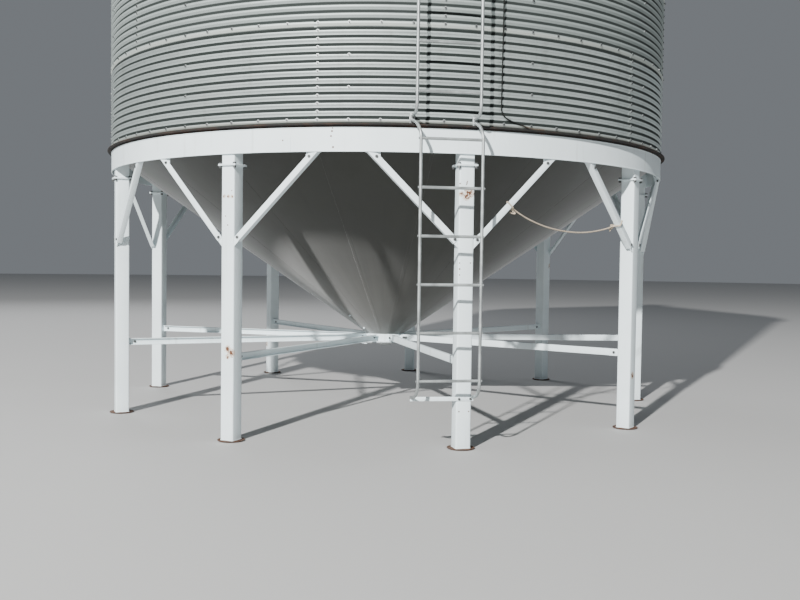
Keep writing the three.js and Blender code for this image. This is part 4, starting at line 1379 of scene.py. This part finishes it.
class SILO_OT_hopper(bpy.types.Operator):
    """Make the cone hopper with its seams, and the outlet collar"""

    bl_idname = "silo.hopper"
    bl_label = "Hopper cone and outlet"

    def execute(self, context):
        rise = CONE_STEEL * math.hypot(1, CONE_SLOPE)
        foot, top = cone_outer(OUTLET_RADIUS), cone_outer(CONE_RADIUS)
        profile = [
            (OUTLET_RADIUS, foot), (CONE_RADIUS, top),
            (CONE_RADIUS, top + rise), (OUTLET_RADIUS, foot + rise),
        ]
        show("cone_shell", Solids().add(turned(profile)), hopper_steel, ["hopper_cone"])
        strip = Solids()
        start, end, half, proud = 0.235, 2.86, 0.016, 0.0022
        outline = [(-half, 0.0), (-half + 0.002, -proud), (half - 0.002, -proud), (half, 0.0)]
        points, faces = prism(outline, start, end)
        slanted = [(x, -radius, cone_outer(radius) + 0.0012 + out) for x, out, radius in points]
        strip.add((slanted, faces))
        copied = {"First Angle": math.radians(FIRST_CONE_SEAM), "Count": CONE_SEAMS}
        mesh = grown("cone_seams", round_the_axis, copied, hopper_steel, base=strip.mesh("cone_seam"))
        show("cone_seams", mesh, hopper_steel)

        low, high = COLLAR_BOTTOM, cone_outer(OUTLET_RADIUS) - SEAT
        collar = Solids().add(turned([
            (OUTLET_RADIUS, low), (COLLAR_OUTER, low), (COLLAR_OUTER, high), (OUTLET_RADIUS, high),
        ], SMALL_SIDES))
        bolts = Fasteners()
        tab = block((-TAB_STEEL, -COLLAR_OUTER - COLLAR_TAB_REACH, BAR_Z - BAR_DEPTH / 2 + 0.002),
                    (0, -COLLAR_OUTER + 0.003, BAR_Z + BAR_DEPTH / 2 - 0.002))
        for place in post_places():
            collar.add(tab, place)
            for reach in COLLAR_BOLTS:
                bolts.add(place @ Vector((-TAB_STEEL, -COLLAR_OUTER - reach, BAR_Z)),
                          place @ Vector((-1, 0, 0)))
        show("collar_shell", collar, white_paint, ["outlet_collar"])
        lugs = Solids()
        lug = block((-0.009, -0.016, -0.016), (0.009, 0.0, 0.016), 0.004)
        tilt = Matrix.Rotation(math.atan(CONE_SLOPE) - math.pi / 2, 4, "X")
        for angle, radius in CONE_LUGS:
            spot = Matrix.Translation(at(angle, radius, cone_outer(radius) - 0.001))
            lugs.add(lug, spot @ sector(angle) @ tilt)
        show("cone_lugs", lugs, white_paint)
        bolts.show("collar_bolts", 5, (0.019, 0.009), (0.026, 0.002))
        return {"FINISHED"}


# Posts, braces and spider bars

def leg(place):
    """One post: a square tube with its splice plate, clip and brace tabs, and its weld beads."""
    solids = Solids()
    top = SPLICE_Z - SPLICE_JOINT
    solids.add(prism(post_outline(), FOOT_STEEL - 0.002, top - SPLICE_STEEL / 2), place)
    solids.add(splice_plate(top - SPLICE_STEEL, top), place)
    inner = -POST_RADIUS + POST_HALF
    solids.add(block((-TAB_STEEL, inner - 0.003, BAR_Z - BAR_DEPTH / 2),
                     (0, inner + CLIP_LENGTH, BAR_Z + BAR_DEPTH / 2)), place)
    for height in (FOOT_STEEL + 0.001, top - SPLICE_STEEL - 0.001):
        solids.add(post_weld(height), place)
    for side in (-1, 1):
        solids.add(tab_plate(foot_tab_outline()), place @ brace_frame(side))
    return solids


class SILO_OT_posts(bpy.types.Operator):
    """Make the nine posts and their rusty feet"""

    bl_idname = "silo.posts"
    bl_label = "Posts"

    def execute(self, context):
        dish = [
            (0.0, 0.0), (0.088, 0.0), (0.106, 0.002), (FOOT_RADIUS, 0.008), (FOOT_RADIUS, 0.0115),
            (0.112, 0.012), (0.098, 0.0075), (0.084, 0.0085), (0.060, 0.0118), (0.0, 0.0118),
        ]
        foot = turned(dish, 48)
        for i, place in enumerate(post_places(), 1):
            show(f"leg_{i}", leg(place), white_paint, [f"post_{i}"])
            pad = Solids().add(foot, place @ Matrix.Translation((0, -POST_RADIUS, 0)))
            show(f"leg_foot_{i}", pad, rusted_foot)
        return {"FINISHED"}


def knee(side):
    """An angle iron, cut square beside the post and level under the ring."""
    half = BRACE_LEG / 2
    corners = [(-half, 0), (half, 0), (half, BRACE_LEG), (half - BRACE_STEEL, BRACE_LEG),
               (half - BRACE_STEEL, BRACE_STEEL), (-half, BRACE_STEEL)]
    outline = [(p.x, p.y) for p in rounded(corners, [0.0015, 0.003, 0.0015, 0.0025, 0.006, 0.0025], 2)]
    place = brace_frame(side)
    across, inward, along = (place.col[k].to_3d() for k in range(3))

    def top(x, y):
        return (BRACE_TOP - BRACE_FOOT_Z - across.z * x - inward.z * y) / along.z

    return prism(outline, BRACE_START, top)


class SILO_OT_braces(bpy.types.Operator):
    """Make the knee braces from each post up to the ring"""

    bl_idname = "silo.braces"
    bl_label = "Knee braces"

    def execute(self, context):
        shapes = {side: knee(side) for side in (-1, 1)}
        for i, place in enumerate(post_places(), 1):
            for side, name in ((-1, "left"), (1, "right")):
                brace = Solids().add(shapes[side], place @ brace_frame(side))
                show(f"{name}_knee_{i}", brace, white_paint, [f"brace_{name}_{i}"])
        return {"FINISHED"}


class SILO_OT_spider_bars(bpy.types.Operator):
    """Make the channel bars that tie the posts to the outlet"""

    bl_idname = "silo.spider_bars"
    bl_label = "Spider bars"

    def execute(self, context):
        half, wide, steel = BAR_DEPTH / 2, BAR_FLANGE, BAR_STEEL
        corners = [(0, -half), (wide, -half), (wide, steel - half), (steel, steel - half),
                   (steel, half - steel), (wide, half - steel), (wide, half), (0, half)]
        radii = [0.004, 0.001, 0.001, 0.004, 0.004, 0.001, 0.001, 0.004]
        outline = [(p.x, p.y) for p in rounded(corners, radii, 3)]
        points, faces = prism(outline, BAR_START, BAR_END)
        bar = [(x + SEAT, -radius, y + BAR_Z) for x, y, radius in points], faces
        for i, place in enumerate(post_places(), 1):
            show(f"channel_{i}", Solids().add(bar, place), white_paint, [f"spider_bar_{i}"])
        return {"FINISHED"}


class SILO_OT_frame_bolts(bpy.types.Operator):
    """Put the bolts and nuts on the splices, braces and spider bars"""

    bl_idname = "silo.frame_bolts"
    bl_label = "Frame bolts"

    def execute(self, context):
        heads, nuts, small = Fasteners(), Fasteners(), Fasteners()
        for place in post_places():
            turn = place.to_3x3()
            for x in (-1, 1):
                for y in (-1, 1):
                    spot = (x * SPLICE_BOLT, y * SPLICE_BOLT - POST_RADIUS)
                    heads.add(place @ Vector((*spot, SPLICE_Z + SPLICE_STEEL)), (0, 0, 1))
                    nuts.add(place @ Vector((*spot, SPLICE_Z - SPLICE_STEEL)), (0, 0, -1))
            for side in (-1, 1):
                brace = brace_frame(side)
                out = turn @ (brace.to_3x3() @ Vector((0, -1, 0)))
                for aside, along in BRACE_BOLTS:
                    small.add(place @ brace @ Vector((aside, 0, along)), out)
            for radius in (POST_RADIUS - POST_HALF - BAR_BOLT, COLLAR_OUTER + BAR_BOLT):
                small.add(place @ Vector((SEAT + BAR_STEEL, -radius, BAR_Z)), turn @ Vector((1, 0, 0)))
                small.add(place @ Vector((-TAB_STEEL, -radius, BAR_Z)), turn @ Vector((-1, 0, 0)))
        wide = context.scene.silo_sizes.frame_bolt
        washer = (wide * 1.25, 0.003)
        heads.show("splice_bolts", 7, (wide, 0.011), washer, sunk=0.0002, sides=16)
        nuts.show("splice_nuts", 8, (wide, 0.016), washer, sunk=0.0002, sides=16)
        small.show("brace_bolts", 9, (0.019, 0.009), (0.028, 0.0025), sides=14)
        return {"FINISHED"}


# Slide gate

def bored_plate(half, bore, low, high):
    """A square plate with a round hole in its middle."""
    sides = SMALL_SIDES
    points = []
    for height in (low, high):
        for i in range(sides):
            angle = TAU * (i + 0.5) / sides
            x, y = math.cos(angle), math.sin(angle)
            reach = half / max(abs(x), abs(y))
            points += [(x * bore, y * bore, height), (x * reach, y * reach, height)]
    faces = []
    for i in range(sides):
        a, b = 2 * i, 2 * ((i + 1) % sides)
        c, d = a + 2 * sides, b + 2 * sides
        faces += [[a, a + 1, b + 1, b], [c, d, d + 1, c + 1], [a, b, d, c], [a + 1, c + 1, d + 1, b + 1]]
    return points, faces


class SILO_OT_gate(bpy.types.Operator):
    """Make the slide gate: its frame under the collar and the plate that slides in it"""

    bl_idname = "silo.gate"
    bl_label = "Slide gate"

    def execute(self, context):
        low = GATE_TOP - GATE_STEEL
        rail_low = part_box("gate_frame")[0].z
        shelf_high = rail_low + GATE_STEEL
        front, back = GATE_SLOT
        housing = Solids().add(bored_plate(GATE_HALF, OUTLET_RADIUS, low, GATE_TOP))
        housing.add(block((-GATE_HALF, GATE_HALF, low), (GATE_HALF, front, GATE_TOP), 0.001))
        housing.add(block((-GATE_HALF, back, low), (GATE_HALF, GATE_BACK, GATE_TOP), 0.001))
        bolts = Fasteners()
        for side in (-1, 1):
            edge = side * GATE_HALF
            strip = sorted((edge, side * GATE_SLOT_HALF))
            wall = sorted((edge, side * (PLATE_HALF + 0.005)))
            shelf = sorted((edge, side * (PLATE_HALF - 0.025)))
            housing.add(block((strip[0], front, low), (strip[1], back, GATE_TOP), 0.001))
            housing.add(block((wall[0], -GATE_HALF, rail_low), (wall[1], GATE_BACK, low + 0.001)))
            housing.add(block((shelf[0], -GATE_HALF, rail_low), (shelf[1], GATE_BACK, shelf_high)))
            for y in GATE_BOLTS:
                bolts.add((side * (GATE_HALF - 0.012), y, GATE_TOP), (0, 0, 1))
        show("gate_housing", housing, white_paint, ["gate_frame"])
        bolts.show("gate_bolts", 12, (0.016, 0.008), (0.022, 0.002), sides=12)
        reach = PLATE_LENGTH / 2
        plate = Solids()
        plate.add(block((-PLATE_HALF, -reach, PLATE_TOP - PLATE_STEEL),
                        (PLATE_HALF, reach, PLATE_TOP), 0.001))
        plate.add(block((-0.06, 0.228, PLATE_TOP - 0.07), (0.06, 0.236, PLATE_TOP - 0.001), 0.002))
        show("slide_plate", plate, galvanised_bar, ["gate_plate"], body="gate")
        return {"FINISHED"}


# Roof

class SILO_OT_roof(bpy.types.Operator):
    """Make the roof deck with its ribs, the fill collar and the lid"""

    bl_idname = "silo.roof"
    bl_label = "Roof"

    def execute(self, context):
        inner, outer = FILL_RADIUS, EAVE_RADIUS
        edges = [(inner, 0.002), (outer, 0.002), (outer, 0.004), (outer - 0.004, 0.005), (inner, 0.005)]
        deck = Solids().add(turned([(radius, over_roof(radius, lift)) for radius, lift in edges]))
        show("roof_deck", deck, galvanised_plain, ["roof"])
        outline = [
            (-0.034, 0.0), (-0.022, 0.021), (-0.014, 0.024), (0.014, 0.024), (0.022, 0.021), (0.034, 0.0),
        ]
        points, faces = prism(outline, inner + 0.012, outer - 0.002)
        slanted = [(x, -radius, over_roof(radius, 0.004) + up) for x, up, radius in points]
        rib = Solids().add((slanted, faces))
        copied = {"First Angle": math.radians(FIRST_RIB), "Count": ROOF_RIBS}
        mesh = grown("roof_ribs", round_the_axis, copied, galvanised_plain, base=rib.mesh("roof_rib"))
        show("roof_ribs", mesh, galvanised_plain)

        foot = over_roof(FILL_RADIUS, 0.03) + SEAT
        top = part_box("fill_collar")[1].z
        collar = Solids().add(turned([
            (FILL_RADIUS, foot), (FILL_OUTER, foot), (FILL_OUTER, top - 0.004), (FILL_OUTER - 0.001, top),
            (FILL_RADIUS + 0.001, top), (FILL_RADIUS, top - 0.004),
        ], SMALL_SIDES))
        show("fill_neck", collar, galvanised_plain, ["fill_collar"])
        rim, seat, crown = lid_low.z, lid_low.z + LID_RIM, lid_high.z
        lid = Solids().add(turned([
            (0.0, seat), (LID_INNER, seat), (LID_INNER, rim + 0.004), (LID_INNER - 0.0005, rim),
            (LID_OUTER, rim), (LID_OUTER, seat + 0.002), (LID_OUTER - 0.002, seat + 0.006),
            (0.2, seat + 0.055), (0.07, crown - 0.004), (0.055, crown), (0.0, crown),
        ], SMALL_SIDES))
        show("lid_cap", lid, galvanised_plain, ["fill_lid"])
        return {"FINISHED"}


# Ladders

def wall_at(aside):
    """The wall's outer face at a distance beside a ladder's middle, as a reach in the ladder's frame."""
    return math.sqrt(WALL_OUTER ** 2 - aside ** 2)


def off_the_wall(end, following):
    """Moves the end of a rail along its line to the wall's outer face."""
    end, following = Vector(end), Vector(following)
    for _ in range(4):
        share = (end.y + wall_at(end.x)) / (end.y - following.y)
        end = end.lerp(following, share)
    return end


def rail(corners):
    """A rail along its corners, bent round at each."""
    return tube(rounded(corners, RAIL_BEND, 8, closed=False), RAIL_RADIUS, 16)


def rail_pad(end):
    """The flattened end of a rail, bolted to the wall."""
    x, y, z = end
    return block((x - 0.019, y - 0.004, z - 0.030), (x + 0.019, y + 0.003, z + 0.024), 0.0015)


def upper_ladder(bolts):
    """The rails of the upper ladder, from the wall's foot to the handrails over the eave."""
    place = sector(UPPER_ANGLE)
    solids = Solids()
    top = WALL_TOP + HANDRAIL_TOP
    back = UPPER_REACH - HANDRAIL_BACK
    for side, foot in zip((-1, 1), UPPER_FEET):
        x = side * UPPER_HALF
        bend = (x, -UPPER_REACH, foot + 0.0127)
        start = off_the_wall((x, -WALL_OUTER + RAIL_FROM_WALL, foot), bend)
        end = (x, -back + 0.04, WALL_TOP + HANDRAIL_END)
        solids.add(rail([start, bend, (x, -UPPER_REACH, top), (x, -back, top), end]), place)
        solids.add(rail_pad(start), place)
        bolts.add(place @ (start + Vector((0, -0.004, -0.02))), outward(UPPER_ANGLE))
        face = wall_at(x) + 0.0015
        for tier in STANDOFF_TIERS:
            z = WALL_BOTTOM + tier * TIER_HEIGHT
            solids.add(block((x - 0.004, -UPPER_REACH, z - 0.016), (x + 0.004, -face, z + 0.016), 0.001),
                       place)
            solids.add(block((x - 0.004, -face - 0.005, z - 0.016), (x + 0.04, -face, z + 0.016)), place)
            bolts.add(place @ Vector((x + 0.024, -face - 0.005, z)), outward(UPPER_ANGLE))
    return solids


def lower_ladder(bolts):
    """The rails of the lower ladder, from the wall's foot to the crossbar on the front post."""
    place = sector(LOWER_ANGLE)
    from_post = sector(FIRST_POST - LOWER_ANGLE)
    crossbar = POST_RADIUS + POST_HALF + SEAT + CROSSBAR_STEEL
    solids = Solids()
    for side, (head_x, head_z), (foot_x, foot_z) in zip((-1, 1), LOWER_HEADS, LOWER_FEET):
        x = side * LOWER_HALF
        second = Vector(((head_x + x) / 2, -LOWER_REACH + 0.055, head_z - 0.055))
        start = off_the_wall((head_x, -WALL_OUTER + RAIL_FROM_WALL, head_z), second)
        foot = from_post @ Vector((foot_x, -crossbar - SEAT, foot_z + 0.0081))
        over_foot = Vector((x, -LOWER_REACH, foot_z + FOOT_SWEEP))
        sweep = bend_points(over_foot, Vector((x, -LOWER_REACH, foot.z + 0.012)), foot, 6)
        solids.add(rail([start, second, (x, -LOWER_REACH, head_z - 0.13)] + sweep), place)
        solids.add(rail_pad(start), place)
        bolts.add(place @ (start + Vector((0, -0.004, -0.02))), outward(LOWER_ANGLE))
    return solids


class SILO_OT_ladders(bpy.types.Operator):
    """Make the two ladders, their brackets and the crossbar at the foot"""

    bl_idname = "silo.ladders"
    bl_label = "Ladders"

    def execute(self, context):
        bolts = Fasteners()
        show("upper_rails", upper_ladder(bolts), galvanised_bar, ["ladder_upper"])
        show("lower_rails", lower_ladder(bolts), galvanised_bar, ["ladder_lower"])
        for name, angle, half, reach, first, pitch, count in (
            ("upper_rungs", UPPER_ANGLE, UPPER_HALF, UPPER_REACH,
             UPPER_FIRST_RUNG, UPPER_PITCH, UPPER_RUNGS),
            ("lower_rungs", LOWER_ANGLE, LOWER_HALF, LOWER_REACH,
             LOWER_FIRST_RUNG, LOWER_PITCH, LOWER_RUNGS),
        ):
            mesh = grown(name, ladder_rungs, {
                "Radius": RUNG_RADIUS, "Half Width": half, "Reach": reach, "First Height": first,
                "Pitch": pitch, "Rungs": count, "Angle": math.radians(angle),
            }, galvanised_bar)
            show(name, mesh, galvanised_bar)
        left, right = CROSSBAR_ENDS
        face = -POST_RADIUS - POST_HALF - SEAT
        half = (right - left) / 2
        bar = block((-half, -CROSSBAR_STEEL, -CROSSBAR_DEPTH / 2), (half, 0.0, CROSSBAR_DEPTH / 2))
        middle = Matrix.Translation(((left + right) / 2, face, CROSSBAR_Z))
        place = sector(FIRST_POST) @ middle @ Matrix.Rotation(math.radians(CROSSBAR_TILT), 4, "Y")
        show("foot_bar", Solids().add(bar, place), white_paint, ["ladder_crossbar"])
        for x in CROSSBAR_BOLTS:
            bolts.add(sector(FIRST_POST) @ Vector((x, face - CROSSBAR_STEEL, CROSSBAR_Z - 0.004)),
                      outward(FIRST_POST))
        bolts.show("ladder_bolts", 13, (0.016, 0.008), (0.024, 0.002), sides=12)
        return {"FINISHED"}


# Stage

def soft_lamp(name, place, power, width, tint):
    """A round lamp that looks at the middle of the silo's lower half."""
    lamp = bpy.data.lights.new(name, "AREA")
    lamp.shape = "DISK"
    lamp.energy = power
    lamp.size = width
    lamp.color = tint
    light = bpy.data.objects.new(name, lamp)
    light.location = place
    light.rotation_euler = (Vector(LAMP_TARGET) - place).to_track_quat("-Z", "Y").to_euler()
    bpy.context.scene.collection.objects.link(light)


class SILO_OT_stage(bpy.types.Operator):
    """Lay the pale floor and hang the soft studio lights"""

    bl_idname = "silo.stage"
    bl_label = "Stage"

    def execute(self, context):
        outline = [(0.0, -FLOOR_DEPTH), (FLOOR_RADIUS, -FLOOR_DEPTH), (FLOOR_RADIUS, 0.0), (0.0, 0.0)]
        floor = Solids().add(turned(outline, SMALL_SIDES)).mesh("floor")
        floor.materials.append(finish(studio_floor))
        ground = bpy.data.objects.new("floor", floor)
        context.scene.collection.objects.link(ground)
        for name, angle, distance, height, power, width, tint in LAMPS:
            soft_lamp(name, at(angle, distance, height), power, width, tint)
        world = bpy.data.worlds.new("studio")
        world.use_nodes = True
        background = world.node_tree.nodes["Background"]
        background.inputs["Color"].default_value = SKY_TINT
        background.inputs["Strength"].default_value = SKY_STRENGTH
        context.scene.world = world
        return {"FINISHED"}


OPERATORS = [
    SILO_OT_camera, SILO_OT_rope, SILO_OT_lid_cable, SILO_OT_wall, SILO_OT_wall_bolts, SILO_OT_base,
    SILO_OT_hopper, SILO_OT_posts, SILO_OT_braces, SILO_OT_spider_bars, SILO_OT_frame_bolts, SILO_OT_gate,
    SILO_OT_roof, SILO_OT_ladders, SILO_OT_stage,
]


class SILO_PT_panel(bpy.types.Panel):
    """Lists the silo's sizes, colours and pieces."""

    bl_idname = "SILO_PT_panel"
    bl_label = "Grain Silo"
    bl_space_type = "VIEW_3D"
    bl_region_type = "UI"
    bl_category = "Silo"

    def draw(self, context):
        for group in (context.scene.silo_sizes, context.scene.silo_colours):
            box = self.layout.box()
            for key in group.bl_rna.properties.keys():
                if key not in ("rna_type", "name"):
                    box.prop(group, key)
        for operator in OPERATORS:
            self.layout.operator(operator.bl_idname)


CLASSES = [SiloSizes, SiloColours, *OPERATORS, SILO_PT_panel]


def register():
    for item in CLASSES:
        bpy.utils.register_class(item)
    bpy.types.Scene.silo_sizes = PointerProperty(type=SiloSizes)
    bpy.types.Scene.silo_colours = PointerProperty(type=SiloColours)


def unregister():
    del bpy.types.Scene.silo_colours
    del bpy.types.Scene.silo_sizes
    for item in reversed(CLASSES):
        bpy.utils.unregister_class(item)


def main():
    register()
    for operator in OPERATORS:
        group, name = operator.bl_idname.split(".")
        getattr(getattr(bpy.ops, group), name)()


if __name__ == "__main__":
    main()
